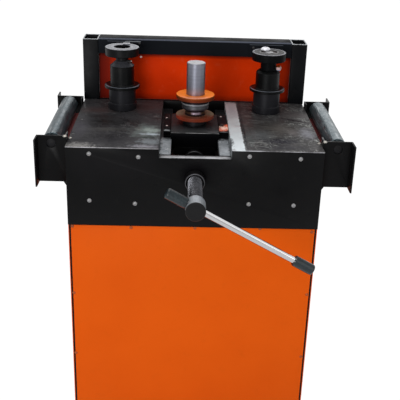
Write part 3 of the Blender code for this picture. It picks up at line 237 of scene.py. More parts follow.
def tidy_mesh(piece: Piece) -> None:
    """Merges a piece's doubles and turns its faces outwards.

    Args:
        piece: The piece.
    """
    with edit_mode(piece):
        bpy.ops.mesh.remove_doubles(threshold=MERGE)
        bpy.ops.mesh.normals_make_consistent(inside=False)


def apply_modifier(piece: Piece, kind: str, **settings: object) -> None:
    """Adds a modifier and applies it.

    Args:
        piece: The piece it acts on.
        kind: Blender's name for the modifier.
        settings: Its settings.
    """
    activate(piece)
    modifier = piece.modifiers.new(kind.lower(), kind)
    for setting, value in settings.items():
        setattr(modifier, setting, value)
    bpy.ops.object.modifier_apply(modifier=modifier.name)


def round_edges(piece: Piece, width: float, segments: int = 2, worn: bool = False) -> Piece:
    """Rounds a piece's sharp edges.

    Args:
        piece: The piece.
        width: How far the rounding reaches.
        segments: Facets across the rounding.
        worn: Whether the rounding takes the second material, of rubbed edges.

    Returns:
        The piece.
    """
    apply_modifier(
        piece,
        "BEVEL",
        width=width,
        segments=segments,
        limit_method="ANGLE",
        angle_limit=BEVEL_ANGLE,
        material=1 if worn else -1,
        harden_normals=False,
    )
    return shade(piece)


def move_vertices(piece: Piece, test: Callable[[Vector], bool], offset: Vector) -> None:
    """Moves the vertices that pass a test.

    Args:
        piece: The piece.
        test: Says yes or no to a vertex's place.
        offset: How far they move.
    """
    with edit_mode(piece):
        bpy.ops.mesh.select_mode(type="VERT")
        bpy.ops.mesh.select_all(action="DESELECT")
        shape = bmesh.from_edit_mesh(piece.data)
        for vertex in shape.verts:
            vertex.select_set(test(vertex.co))
        bmesh.update_edit_mesh(piece.data)
        bpy.ops.transform.translate(value=offset)


def bevel_edges(piece: Piece, width: float, segments: int, test: Test) -> Piece:
    """Rounds the edges whose middle and direction pass a test.

    Args:
        piece: The piece.
        width: How far the rounding reaches.
        segments: Facets across the rounding.
        test: Says yes or no to an edge's middle and direction.

    Returns:
        The piece.
    """
    with edit_mode(piece):
        bpy.ops.mesh.select_mode(type="EDGE")
        bpy.ops.mesh.select_all(action="DESELECT")
        shape = bmesh.from_edit_mesh(piece.data)
        for edge in shape.edges:
            low, high = (vertex.co for vertex in edge.verts)
            sharp = len(edge.link_faces) == 2 and edge.calc_face_angle(0.0) > BEVEL_ANGLE
            edge.select_set(sharp and test((low + high) / 2, (high - low).normalized()))
        bmesh.update_edit_mesh(piece.data)
        bpy.ops.mesh.bevel(offset=width, segments=segments, affect="EDGES")
    return piece


def box(name: str, low: Vector, high: Vector) -> Piece:
    """A box between two corners, to be shaped further.

    Args:
        name: The piece's name.
        low: Its lowest corner.
        high: Its highest corner.

    Returns:
        The box.
    """
    deselect_all()
    bpy.ops.mesh.primitive_cube_add(size=1.0, location=(low + high) / 2, scale=high - low)
    return settle(bpy.context.object, name)


def rod(
    name: str, radius: float, length: float, centre: Vector, axis: Axis, sides: int = BOLT_STEPS
) -> Piece:
    """A plain rod, to be shaped further or cut with.

    Args:
        name: The piece's name.
        radius: Its radius.
        length: Its length.
        centre: Its middle.
        axis: The axis it lies along.
        sides: How many sides it has.

    Returns:
        The rod.
    """
    deselect_all()
    turn = axis.turn().to_euler()
    bpy.ops.mesh.primitive_cylinder_add(
        vertices=sides, radius=radius, depth=length, location=centre, rotation=turn
    )
    return settle(bpy.context.object, name)


def draw_profile(points: Sequence[Vector], centre: Vector) -> Piece:
    """Draws a line of edges by extruding one point.

    Args:
        points: The line's points, from the centre.
        centre: Where the points are measured from, and the object's origin.

    Returns:
        The line, left in edit mode.
    """
    deselect_all()
    bpy.ops.mesh.primitive_plane_add(size=MERGE, location=centre)
    piece = bpy.context.object
    bpy.ops.object.mode_set(mode="EDIT")
    bpy.ops.mesh.select_mode(type="VERT")
    bpy.ops.mesh.select_all(action="SELECT")
    bpy.ops.mesh.merge(type="CENTER")
    bpy.ops.transform.translate(value=points[0])
    for before, after in zip(points, points[1:]):
        bpy.ops.mesh.extrude_vertices_move(TRANSFORM_OT_translate={"value": after - before})
    return piece


def lathe(
    name: str, profile: Profile, centre: Vector, axis: Axis, bore: bool = False, steps: int = ROUND_STEPS
) -> Piece:
    """Turns a profile of radius and height pairs about an axis.

    Args:
        name: The piece's name.
        profile: The outline's radius and height pairs.
        centre: The place where the height is zero on the axis.
        axis: The axis it turns about.
        bore: Whether the outline closes on itself, round a bore.
        steps: Facets in a full turn.

    Returns:
        The turned piece.
    """
    turn = axis.turn()
    outline = list(profile) + ([profile[0]] if bore else [])
    points = [turn @ Vector((radius, 0.0, height)) for radius, height in outline]
    piece = draw_profile(points, centre)
    bpy.ops.mesh.select_all(action="SELECT")
    bpy.ops.mesh.remove_doubles(threshold=MERGE)
    bpy.ops.mesh.spin(steps=steps, angle=2 * pi, center=centre, axis=axis.value, use_auto_merge=True)
    bpy.ops.object.mode_set(mode="OBJECT")
    tidy_mesh(piece)
    return settle(piece, name)


def cut(piece: Piece, *cutters: Piece) -> Piece:
    """Cuts pieces out of another one.

    Args:
        piece: The piece that stays.
        cutters: What is cut away, and then removed.

    Returns:
        The cut piece.
    """
    for cutter in cutters:
        apply_modifier(piece, "BOOLEAN", operation="DIFFERENCE", object=cutter, solver="EXACT")
        bpy.data.objects.remove(cutter, do_unlink=True)
    return shade(piece)


def join(name: str, pieces: Sequence[Piece]) -> Piece:
    """Joins pieces that are one part into one object.

    Args:
        name: The name of the whole.
        pieces: The pieces, all in place.

    Returns:
        The joined piece.
    """
    activate(pieces[0])
    for piece in pieces:
        piece.select_set(True)
    bpy.ops.object.join()
    return settle(pieces[0], name)


def copied(master: Piece, name: str, place: Matrix) -> Piece:
    """A copy of a master piece with a mesh of its own.

    Args:
        master: The piece modelled at the origin.
        name: The copy's name.
        place: Where the copy goes.

    Returns:
        The copy.
    """
    mesh = master.data.copy()
    mesh.transform(place)
    mesh.name = name
    piece = bpy.data.objects.new(name, mesh)
    bpy.context.scene.collection.objects.link(piece)
    return piece


def from_node(node: str, name: str) -> Piece:
    """A clean copy of a node's mesh, with its loose triangles merged into flat faces.

    Args:
        node: The node.
        name: The copy's name.

    Returns:
        The copy.
    """
    piece = copied(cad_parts[node], name, Matrix.Identity(4))
    piece.data.materials.clear()
    with edit_mode(piece):
        bpy.ops.mesh.customdata_custom_splitnormals_clear()
        bpy.ops.mesh.mark_sharp(clear=True)
        bpy.ops.mesh.remove_doubles(threshold=MERGE)
        bpy.ops.mesh.dissolve_limited(angle_limit=radians(0.5))
    return piece


def numbered(prefix: str, seats: Sequence[Vector], facing: Vector) -> list[Place]:
    """Places of screws that all face one way, named prefix_1, prefix_2 and so on."""
    return [(f"{prefix}_{index}", seat, facing) for index, seat in enumerate(seats, start=1)]


def worn_copy(node: str, width: float, segments: int = 2, worn: bool = True) -> Piece:
    """A node's shape with its edges rounded.

    Args:
        node: The node.
        width: How far the rounding reaches.
        segments: Facets across the rounding.
        worn: Whether the rounding takes the material of rubbed edges.

    Returns:
        The rounded piece.
    """
    return round_edges(from_node(node, node + "_finished"), width, segments, worn)


# Finishes


def feed(tree: bpy.types.NodeTree, socket: Socket, value: Input) -> None:
    """Links a socket to another one, or sets its own value.

    Args:
        tree: The node tree.
        socket: The socket.
        value: What it gets.
    """
    if isinstance(value, bpy.types.NodeSocket):
        tree.links.new(value, socket)
    elif socket.type == "RGBA":
        socket.default_value = (*value, 1.0)
    else:
        socket.default_value = value


def add_node(
    tree: bpy.types.NodeTree, kind: str, inputs: Optional[Inputs] = None, **settings: object
) -> bpy.types.Node:
    """Adds a node to a tree.

    Args:
        tree: The node tree.
        kind: Blender's name for its kind.
        inputs: What each named or numbered socket gets.
        **settings: The node's own settings.

    Returns:
        The node.
    """
    made = tree.nodes.new(kind)
    for setting, value in settings.items():
        setattr(made, setting, value)
    for socket, value in (inputs or {}).items():
        feed(tree, made.inputs[socket], value)
    return made


class Graph:
    """A material's node tree, written from left to right."""

    def __init__(self, name: str) -> None:
        """Starts a material with a plain Principled shader."""
        self.material = bpy.data.materials.new(name)
        self.material.use_nodes = True
        self.tree = self.material.node_tree
        self.shader = self.tree.nodes["Principled BSDF"]
        coordinates = self.node("ShaderNodeTexCoord")
        self.here = coordinates.outputs["Object"]
        self.outward = coordinates.outputs["Normal"]
        self.normal: Optional[Socket] = None

    def node(self, kind: str, inputs: Optional[Inputs] = None, **settings: object) -> bpy.types.Node:
        """A new node of the material."""
        return add_node(self.tree, kind, inputs, **settings)

    def set(self, name: str, value: Input) -> None:
        """Feeds a socket of the material's shader."""
        feed(self.tree, self.shader.inputs[name], value)

    def surface(self, colour: Tint, rough: Value, metallic: Value = 0.0, gloss: Value = 0.5) -> None:
        """Sets what the surface looks like.

        Args:
            colour: Its colour.
            rough: Its roughness.
            metallic: How metallic it is.
            gloss: Its shine.
        """
        names = ("Base Color", "Roughness", "Metallic", "Specular IOR Level")
        for name, value in zip(names, (colour, rough, metallic, gloss)):
            self.set(name, value)

    def placed(
        self, centre: Vector = Vector(), turn: Vector = Vector(), size: Vector = Vector((1.0, 1.0, 1.0))
    ) -> Socket:
        """Object coordinates about a centre, turned and measured in a size.

        Args:
            centre: What becomes the origin.
            turn: Degrees about X, Y and Z.
            size: The length that counts as 1 along each turned axis.

        Returns:
            The coordinates.
        """
        rotation = Vector([radians(angle) for angle in turn])
        inputs = {"Vector": self.here, "Location": centre, "Rotation": rotation, "Scale": size}
        return self.node("ShaderNodeMapping", inputs, vector_type="TEXTURE").outputs["Vector"]

    def noise(
        self,
        scale: float,
        detail: float = 3.0,
        rough: float = 0.55,
        where: Optional[Socket] = None,
        warp: float = 0.0,
    ) -> Socket:
        """A cloud noise.

        Args:
            scale: Features per metre, or per unit of the coordinates given.
            detail: Octaves.
            rough: How strong the fine octaves are.
            where: The coordinates, or the object's own.
            warp: How far the noise is distorted.

        Returns:
            The noise, about 0.5.
        """
        inputs = {"Vector": where or self.here, "Scale": scale, "Detail": detail}
        inputs.update({"Roughness": rough, "Distortion": warp})
        return self.node("ShaderNodeTexNoise", inputs).outputs["Fac"]

    def cells(self, scale: float, where: Socket) -> bpy.types.Node:
        """A cell pattern's node, with a colour per cell and a distance from each cell's middle."""
        return self.node("ShaderNodeTexVoronoi", {"Vector": where, "Scale": scale})

    def grade(self, value: Socket, low: float, high: float, start: float = 0.0, end: float = 1.0) -> Socket:
        """Spreads a value between low and high over start to end.

        Args:
            value: The value.
            low: Where the spread starts.
            high: Where it ends.
            start: The result at low.
            end: The result at high.

        Returns:
            The result, held between start and end.
        """
        inputs = {"Value": value, "From Min": low, "From Max": high, "To Min": start, "To Max": end}
        return self.node("ShaderNodeMapRange", inputs, clamp=True).outputs["Result"]

    def around(self, noise: Socket, middle: float, below: float, above: float) -> Socket:
        """Spreads a noise's usual range round a value, from some way below it to some way above."""
        return self.grade(noise, 0.3, 0.7, middle - below, middle + above)

    def sum(self, operation: str, first: Value, second: Value = 0.0) -> Socket:
        """One arithmetic step on two values."""
        return self.node("ShaderNodeMath", {0: first, 1: second}, operation=operation).outputs[0]

    def mix(self, share: Value, under: Tint, over: Tint) -> Socket:
        """Lays one colour over another, as much of it as the share says."""
        return self.node("ShaderNodeMix", {0: share, 6: under, 7: over}, data_type="RGBA").outputs[2]

    def split(self, vector: Socket) -> list[Socket]:
        """A vector's three parts."""
        return list(self.node("ShaderNodeSeparateXYZ", {0: vector}).outputs)

    def length(self, vector: Socket) -> Socket:
        """A vector's length."""
        return self.node("ShaderNodeVectorMath", {0: vector}, operation="LENGTH").outputs["Value"]

    def about(self, centre: Vector, axis: Axis) -> Socket:
        """Radius and height about an axis, in which a noise makes the marks of a lathe.

        Args:
            centre: A point on the axis.
            axis: The axis.

        Returns:
            Coordinates of radius, nothing and height.
        """
        parts = self.split(self.placed(centre))
        along = parts.pop(list(Axis).index(axis))
        squares = [self.sum("MULTIPLY", part, part) for part in parts]
        radius = self.sum("SQRT", self.sum("ADD", squares[0], squares[1]))
        return self.node("ShaderNodeCombineXYZ", {0: radius, 2: along}).outputs[0]

    def facing(self, direction: Vector) -> Socket:
        """How far a surface faces a direction of the object's own, from -1 to 1."""
        made = self.node("ShaderNodeVectorMath", {0: self.outward, 1: direction}, operation="DOT_PRODUCT")
        return made.outputs["Value"]

    def square_reach(self, vector: Socket) -> Socket:
        """The larger of a vector's first two parts, without their signs."""
        across, along, _ = self.split(vector)
        return self.sum("MAXIMUM", self.sum("ABSOLUTE", across), self.sum("ABSOLUTE", along))

    def above(self, level: float, soft: float = 0.0008) -> Socket:
        """One above a level measured from the table's top, and zero below it."""
        height = self.split(self.here)[2]
        return self.grade(height, DATUM.top + level - soft, DATUM.top + level + soft)

    def within(self, value: Socket, limits: Range, soft: float) -> Socket:
        """One between two limits and zero outside them.

        Args:
            value: The value.
            limits: Its lowest and highest value.
            soft: Half the width over which it fades.

        Returns:
            The mask.
        """
        low, high = limits
        rise = self.grade(value, low - soft, low + soft)
        return self.sum("MULTIPLY", rise, self.grade(value, high - soft, high + soft, 1.0, 0.0))

    def broken(self, ragged: float, grain: float) -> Socket:
        """A noise that breaks a mask up, the more the more ragged it is."""
        middle = 0.25 + 0.3 * ragged
        return self.grade(self.noise(grain, 5.0, 0.68), middle - 0.1, middle + 0.1)

    def bump(self, height: Socket, depth: float, strength: float = 1.0) -> None:
        """Adds relief on top of the relief so far.

        Args:
            height: The relief, from 0 to 1.
            depth: Its depth in metres.
            strength: How much of it shows.
        """
        inputs = {"Height": height, "Distance": depth, "Strength": strength}
        if self.normal is not None:
            inputs["Normal"] = self.normal
        self.normal = self.node("ShaderNodeBump", inputs).outputs["Normal"]
        self.set("Normal", self.normal)

    def scratches(self, turn: float, scale: float, low: float, stretch: float = 40.0) -> Socket:
        """Long thin lines lying one way in plan, as a mask.

        Args:
            turn: Degrees about Z that the lines are turned.
            scale: Lines per metre across.
            low: The noise level above which a line shows.
            stretch: How much longer than wide they are.

        Returns:
            The mask.
        """
        where = self.placed(turn=Vector((0.0, 0.0, turn)), size=Vector((1.0, stretch, stretch / 4)))
        return self.grade(self.noise(scale, detail=1.5, where=where), low, low + 0.03)


@dataclass(frozen=True)
class Spot:
    """A soft-edged mark on a level face, round or square.

    Attributes:
        left: Its left edge across the table.
        right: Its right edge.
        near: Its near edge behind the table's front face.
        far: Its far edge.
        colour: Its colour.
        strength: How much of it shows.
        turn: Degrees it is turned about Z.
        soft: Share of its size over which it fades.
        ragged: How broken its edge is.
        grain: How fine the breaks are, per metre.
        square: Whether its edges are straight.
    """

    left: float
    right: float
    near: float
    far: float
    colour: Colour
    strength: float = 1.0
    turn: float = 0.0
    soft: float = 0.5
    ragged: float = 0.4
    grain: float = 95.0
    square: bool = False

    def mask(self, graph: Graph) -> Socket:
        """The mark's mask in a material.

        Args:
            graph: The material's nodes.

        Returns:
            The mask.
        """
        centre = DATUM.at((self.left + self.right) / 2, (self.near + self.far) / 2, 0.0)
        size = Vector(((self.right - self.left) / 2, (self.far - self.near) / 2, 1.0))
        where = graph.placed(centre, Vector((0.0, 0.0, self.turn)), size)
        rim = graph.grade(graph.noise(self.grain, 5.0, 0.65), 0.3, 0.7, -self.ragged, self.ragged)
        reach = graph.sum("ADD", graph.square_reach(where) if self.square else graph.length(where), rim)
        return graph.grade(reach, 1.0 - self.soft, 1.0 + self.soft / 2, self.strength, 0.0)


@dataclass(frozen=True)
class Patch:
    """A stretch of a piece with a tone of its own, between limits measured as Datum says.

    Attributes:
        colour: Its colour.
        across: Its limits across the table.
        depth: Its limits behind the table's front face.
        level: Its limits above the table's top.
        strength: How much of it shows.
        soft: Half the width over which it fades.
        ragged: How broken it is, from 0 to 1.
        grain: How fine the breaks are, per metre.
    """

    colour: Colour
    across: Range = ANY
    depth: Range = ANY
    level: Range = ANY
    strength: float = 1.0
    soft: float = 0.001
    ragged: float = 0.0
    grain: float = 90.0

    def over(self, graph: Graph, colour: Tint, limits: Sequence[tuple[Socket, Range, float]]) -> Socket:
        """Lays the patch's tone over a colour.

        Args:
            graph: The material's nodes.
            colour: The colour under it.
            limits: Each value with its limits and softness.

        Returns:
            The colour with it.
        """
        masks = [graph.within(value, pair, soft) for value, pair, soft in limits if pair != ANY]
        if self.ragged:
            masks.append(graph.broken(self.ragged, self.grain))
        share = self.strength
        for mask in masks:
            share = graph.sum("MULTIPLY", mask, share)
        return graph.mix(share, colour, self.colour)


@dataclass(frozen=True)
class Zone(Patch):
    """A patch of a piece of any shape.

    Attributes:
        mirrored: Whether it lies on both sides of the middle.
    """

    mirrored: bool = False

    def lay(self, graph: Graph, colour: Tint) -> Socket:
        """Lays the zone's tone over a colour.

        Args:
            graph: The material's nodes.
            colour: The colour under it.

        Returns:
            The colour with it.
        """
        across, depth, level = graph.split(graph.placed(DATUM.at(0.0, 0.0, 0.0)))
        if self.mirrored:
            across = graph.sum("ABSOLUTE", across)
        pairs = ((across, self.across), (depth, self.depth), (level, self.level))
        return self.over(graph, colour, [(value, limits, self.soft) for value, limits in pairs])


@dataclass(frozen=True)
class Band(Patch):
    """A ring round a turned piece. Its level counts along the axis, from the finish's centre.

    Attributes:
        soft: Half the width over which it fades. Across and in depth it is WIDER times that.
        radius: Its limits from the axis.
    """

    soft: float = 0.0006
    radius: Range = ANY

    def lay(self, graph: Graph, colour: Tint, where: Socket) -> Socket:
        """Lays the ring's tone over a colour.

        Args:
            graph: The material's nodes.
            colour: The colour under it.
            where: Radius and height about the axis.

        Returns:
            The colour with it.
        """
        radius, _, level = graph.split(where)
        across, depth, _ = graph.split(graph.placed(DATUM.at(0.0, 0.0, 0.0)))
        limits = [(radius, self.radius, self.soft), (level, self.level, self.soft)]
        limits += [(depth, self.depth, WIDER * self.soft), (across, self.across, WIDER * self.soft)]
        return self.over(graph, colour, limits)


@dataclass(frozen=True)
class Finish:
    """Base of every finish: a material that is made once, on first use.

    Attributes:
        name: The material's name.
    """

    name: str

    def paint(self, graph: Graph) -> None:
        """Writes the finish into a node tree.

        Args:
            graph: The material's nodes.
        """
        raise NotImplementedError

    def material(self) -> bpy.types.Material:
        """The finish's material.

        Returns:
            The material, made on first use.
        """
        found = bpy.data.materials.get(self.name)
        if found is None:
            graph = Graph(self.name)
            self.paint(graph)
            found = graph.material
        return found


@dataclass(frozen=True)
class Paint(Finish):
    """Sprayed gloss paint, with faint clouds, dust and orange peel.

    Attributes:
        colour: Its colour.
        second: The tone of its clouds.
        dirt: The tone of the dirt on it.
        dirtiness: How much of that shows.
        roughness: Its roughness.
        gloss: Its shine.
        zones: Its patches of other tones.
    """

    colour: Colour = (0.5, 0.5, 0.5)
    second: Colour = (0.4, 0.4, 0.4)
    dirt: Colour = (0.05, 0.05, 0.05)
    dirtiness: float = 0.15
    roughness: float = 0.4
    gloss: float = 0.15
    zones: tuple[Zone, ...] = ()

    def paint(self, graph: Graph) -> None:
        """Clouds of a second tone, thin dirt, its zones, and a fine orange peel.

        Args:
            graph: The material's nodes.
        """
        cloud = graph.grade(graph.noise(4.0, 3.0), 0.38, 0.66)
        colour = graph.mix(cloud, self.colour, self.second)
        dirt = graph.grade(graph.noise(38.0, 6.0, 0.7, warp=0.4), 0.56, 0.78, 0.0, self.dirtiness)
        colour = graph.mix(dirt, colour, self.dirt)
        for zone in self.zones:
            colour = zone.lay(graph, colour)
        rough = graph.around(graph.noise(22.0, 4.0), self.roughness, 0.06, 0.1)
        graph.surface(colour, rough, gloss=self.gloss)
        graph.bump(graph.noise(420.0, 2.0), 0.00015, 0.25)


@dataclass(frozen=True)
class RubbedEdge(Finish):
    """An edge where paint or scale is rubbed through to metal in places.

    Attributes:
        under: The metal's colour.
        over: The colour of what covers it.
        share: How much of it is rubbed bare.
        roughness: Its roughness.
    """

    under: Colour = (0.4, 0.4, 0.4)
    over: Colour = (0.02, 0.02, 0.02)
    share: float = 0.5
    roughness: float = 0.35

    def paint(self, graph: Graph) -> None:
        """Metal where a noise is high and the cover elsewhere.

        Args:
            graph: The material's nodes.
        """
        middle = 0.62 - 0.24 * self.share
        bare = graph.grade(graph.noise(70.0, 6.0, 0.7, warp=0.3), middle - 0.06, middle + 0.06)
        rough = graph.around(graph.noise(300.0), self.roughness, 0.08, 0.12)
        metallic = graph.grade(bare, 0.0, 1.0, 0.1, 0.9)
        graph.surface(graph.mix(bare, self.over, self.under), rough, metallic, 0.25)
        graph.bump(graph.noise(500.0, 3.0), 0.0002, 0.3)


@dataclass(frozen=True)
class WornSteel(Finish):
    """Rolled plate that pipes have slid over: mottled, scratched and marked, with painted shadow, shade and
    reflection among its marks.

    Attributes:
        dark: Its darker tone.
        light: Its lighter tone.
        speck: The tone of flecks and scratches.
        metallic: How metallic it is.
        roughness: Its roughness.
        gloss: The shine of its film of oil.
        grazing: The tint of what it mirrors at a low angle.
        scratched: How strong the flecks and scratches are.
        fronts: The tone of its front faces, where they differ.
        lip: The tone of the rubbed lip along its front edge.
        lip_level: The level above which that lip shows.
        spots: Its marks, some of them painted shadow, shade and reflection.
    """

    dark: Colour = (0.03, 0.03, 0.03)
    light: Colour = (0.09, 0.085, 0.08)
    speck: Colour = (0.30, 0.29, 0.27)
    metallic: float = 0.45
    roughness: float = 0.40
    gloss: float = 0.06
    grazing: float = 0.30
    scratched: float = 0.5
    fronts: Optional[Colour] = None
    lip: Optional[Colour] = None
    lip_level: float = -0.004
    spots: tuple[Spot, ...] = ()

    def mottle(self, graph: Graph) -> Socket:
        """The plate's two tones, in large and small clouds.

        Args:
            graph: The material's nodes.

        Returns:
            The colour.
        """
        large = graph.grade(graph.noise(9.0, 5.0, 0.6, warp=0.8), 0.36, 0.66, 0.0, 0.4)
        small = graph.grade(graph.noise(75.0, 6.0, 0.68), 0.3, 0.72, 0.0, 0.4)
        fine = graph.grade(graph.noise(260.0, 4.0, 0.7), 0.3, 0.7, 0.0, 0.2)
        share = graph.sum("ADD", graph.sum("ADD", large, small), fine)
        return graph.mix(share, self.dark, self.light)

    def rub(self, graph: Graph, colour: Socket) -> Socket:
        """Scratches one way and another, and pale specks.

        Args:
            graph: The material's nodes.
            colour: The colour under them.

        Returns:
            The colour with them.
        """
        where_worn = graph.grade(graph.noise(11.0, 3.0, 0.6), 0.42, 0.66, 0.15, 1.0)
        for turn, scale, low, stretch in (
            (62.0, 330.0, 0.63, 9.0),
            (118.0, 360.0, 0.64, 7.0),
            (8.0, 420.0, 0.66, 14.0),
            (84.0, 300.0, 0.68, 30.0),
        ):
            lines = graph.sum("MULTIPLY", graph.scratches(turn, scale, low, stretch), self.scratched)
            colour = graph.mix(graph.sum("MULTIPLY", lines, where_worn), colour, self.speck)
        flecks = graph.grade(graph.noise(430.0, 2.0), 0.66, 0.73, 0.0, self.scratched)
        return graph.mix(graph.sum("MULTIPLY", flecks, where_worn), colour, self.speck)

    def front_faces(self, graph: Graph, colour: Socket) -> Socket:
        """The tones of the front faces and of the rubbed lip.

        Args:
            graph: The material's nodes.
            colour: The colour elsewhere.

        Returns:
            The colour with them.
        """
        face = graph.grade(graph.facing(FRONT), 0.3, 0.6)
        if self.fronts is not None:
            colour = graph.mix(face, colour, self.fronts)
        if self.lip is not None:
            wavy = graph.grade(graph.noise(17.0, 6.0, 0.72, warp=0.6), 0.36, 0.62, 0.12, 1.0)
            share = graph.sum("MULTIPLY", graph.sum("MULTIPLY", face, wavy), graph.above(self.lip_level))
            colour = graph.mix(share, colour, self.lip)
        return colour

    def paint(self, graph: Graph) -> None:
        """Mottle, scratches, the marks, and the front faces.

        Args:
            graph: The material's nodes.
        """
        colour = self.rub(graph, self.mottle(graph))
        rough = graph.around(graph.noise(30.0, 5.0, 0.65), self.roughness, 0.1, 0.14)
        for spot in self.spots:
            colour = graph.mix(spot.mask(graph), colour, spot.colour)
        graph.surface(self.front_faces(graph, colour), rough, self.metallic, self.gloss)
        graph.set("Specular Tint", (self.grazing,) * 3)
        graph.bump(graph.noise(160.0, 6.0, 0.7), 0.0004, 0.25)
        graph.bump(graph.scratches(84.0, 300.0, 0.64), 0.0001, 0.3)


@dataclass(frozen=True)
class TurnedSteel(Finish):
    """Steel off the lathe: rings on its faces, bands round its sides, and some stains.

    Attributes:
        centre: A point on its axis, from which its bands are measured.
        axis: Its axis.
        colour: Its colour.
        second: The colour of its rings.
        stain: The colour of its stains.
        stained: How much of those shows.
        metallic: How metallic it is.
        roughness: Its roughness.
        rings: Rings per metre.
        ring_depth: Their depth.
        top_colour: The colour of the faces that look up, where it differs.
        gloss: Its shine.
        bands: Its rings of other tones.
    """

    centre: Vector = Vector()
    axis: Axis = Axis.Z
    colour: Colour = (0.4, 0.4, 0.4)
    second: Colour = (0.25, 0.25, 0.25)
    stain: Colour = (0.06, 0.05, 0.04)
    stained: float = 0.2
    metallic: float = 0.9
    roughness: float = 0.3
    rings: float = 700.0
    ring_depth: float = 0.0002
    top_colour: Optional[Colour] = None
    gloss: float = 0.3
    bands: tuple[Band, ...] = ()

    def paint(self, graph: Graph) -> None:
        """Lathe rings in tone, roughness and relief, under clouds, stains and bands.

        Args:
            graph: The material's nodes.
        """
        where = graph.about(self.centre, self.axis)
        ring = graph.noise(self.rings, 3.0, 0.6, where=where)
        broad = graph.noise(self.rings / 9, 2.0, where=where)
        share = graph.sum("ADD", *(graph.grade(noise, 0.3, 0.7, 0.0, 0.45) for noise in (ring, broad)))
        colour = graph.mix(share, self.colour, self.second)
        if self.top_colour is not None:
            top = graph.grade(graph.facing(UP), 0.6, 0.9)
            face = graph.mix(graph.grade(ring, 0.3, 0.7, 0.0, 0.5), self.top_colour, self.second)
            colour = graph.mix(top, colour, face)
        stain = graph.grade(graph.noise(55.0, 6.0, 0.7, warp=0.5), 0.52, 0.72, 0.0, self.stained)
        colour = graph.mix(stain, colour, self.stain)
        for band in self.bands:
            colour = band.lay(graph, colour, where)
        rough = graph.around(ring, self.roughness, 0.06, 0.12)
        rough = graph.sum("ADD", rough, graph.sum("MULTIPLY", stain, 0.25))
        graph.surface(colour, rough, self.metallic, self.gloss)
        graph.bump(ring, self.ring_depth, 0.4)
        graph.bump(graph.noise(240.0, 5.0, 0.7), 0.0003, 0.2)


@dataclass(frozen=True)
class WornPaintDisc(Finish):
    """A painted flange with a bright top, a rim darkened as painted shade, and chips.

    Attributes:
        centre: The spindle's place at the table's top.
        colour: The top's colour.
        rim_colour: The colour round the side and under it, darker than the top as painted shade.
        front_colour: The top's colour towards the front; on the upper flange a painted highlight.
        front: How far in front of the axis that begins.
        bare: The tone of chips.
        bareness: How much of it is chipped.
        gloss: Its shine.
        metallic: How metallic the paint is.
        bands: Rings of other tones.
    """

    centre: Vector = Vector()
    colour: Colour = (0.85, 0.2, 0.015)
    rim_colour: Colour = (0.45, 0.09, 0.03)
    front_colour: Colour = (0.85, 0.2, 0.015)
    front: float = 0.030
    bare: Colour = (0.35, 0.33, 0.30)
    bareness: float = 0.2
    gloss: float = 0.1
    metallic: float = 0.0
    bands: tuple[Band, ...] = ()

    def paint(self, graph: Graph) -> None:
        """The top's and the rim's colours, the bands, and the chips.

        Args:
            graph: The material's nodes.
        """
        where = graph.about(self.centre, Axis.Z)
        depth = graph.split(graph.placed(self.centre))[1]
        top = graph.grade(graph.facing(UP), 0.5, 0.8)
        ahead = graph.grade(depth, -self.front, -self.front - 0.022)
        cloud = graph.grade(graph.noise(45.0, 5.0, 0.7), 0.4, 0.7, 0.0, 0.2)
        face = graph.mix(ahead, self.colour, self.front_colour)
        colour = graph.mix(top, self.rim_colour, graph.mix(cloud, face, self.rim_colour))
        for band in self.bands:
            colour = band.lay(graph, colour, where)
        chips = graph.grade(graph.noise(210.0, 5.0, 0.75), 0.60, 0.68, 0.0, self.bareness)
        rough = graph.grade(graph.noise(80.0, 4.0), 0.3, 0.7, 0.34, 0.55)
        graph.surface(graph.mix(chips, colour, self.bare), rough, self.metallic, self.gloss)
        graph.bump(graph.noise(260.0, 5.0, 0.7), 0.0004, 0.3)


@dataclass(frozen=True)
class Galvanised(Finish):
    """Zinc coat with spangles and pale drawn streaks along the length.

    Attributes:
        first: The spangles' darker tone.
        second: Their lighter tone.
        streak: The streaks' tone.
        streaked: How much of those shows.
        metallic: How metallic it is.
    """

    first: Colour = (0.045, 0.065, 0.075)
    second: Colour = (0.13, 0.165, 0.18)
    streak: Colour = (0.60, 0.64, 0.66)
    streaked: float = 0.35
    metallic: float = 0.7

    def paint(self, graph: Graph) -> None:
        """Spangles in two tones, clouds, and streaks along Y.

        Args:
            graph: The material's nodes.
        """
        warped = graph.placed(size=Vector((1.0, 1.6, 1.0)))
        cell = graph.cells(130.0, warped)
        tones = graph.split(cell.outputs["Color"])[0]
        cloud = graph.grade(graph.noise(28.0, 5.0, 0.65), 0.34, 0.68)
        share = graph.sum("ADD", graph.sum("MULTIPLY", tones, 0.35), graph.sum("MULTIPLY", cloud, 0.65))
        colour = graph.mix(share, self.first, self.second)
        along = graph.placed(size=Vector((1.0, 22.0, 1.0)))
        lines = graph.grade(graph.noise(170.0, 3.0, 0.6, where=along), 0.58, 0.70, 0.0, self.streaked)
        rough = graph.grade(tones, 0.0, 1.0, 0.30, 0.48)
        graph.surface(graph.mix(lines, colour, self.streak), rough, self.metallic, 0.3)
        graph.bump(cell.outputs["Distance"], 0.0002, 0.2)


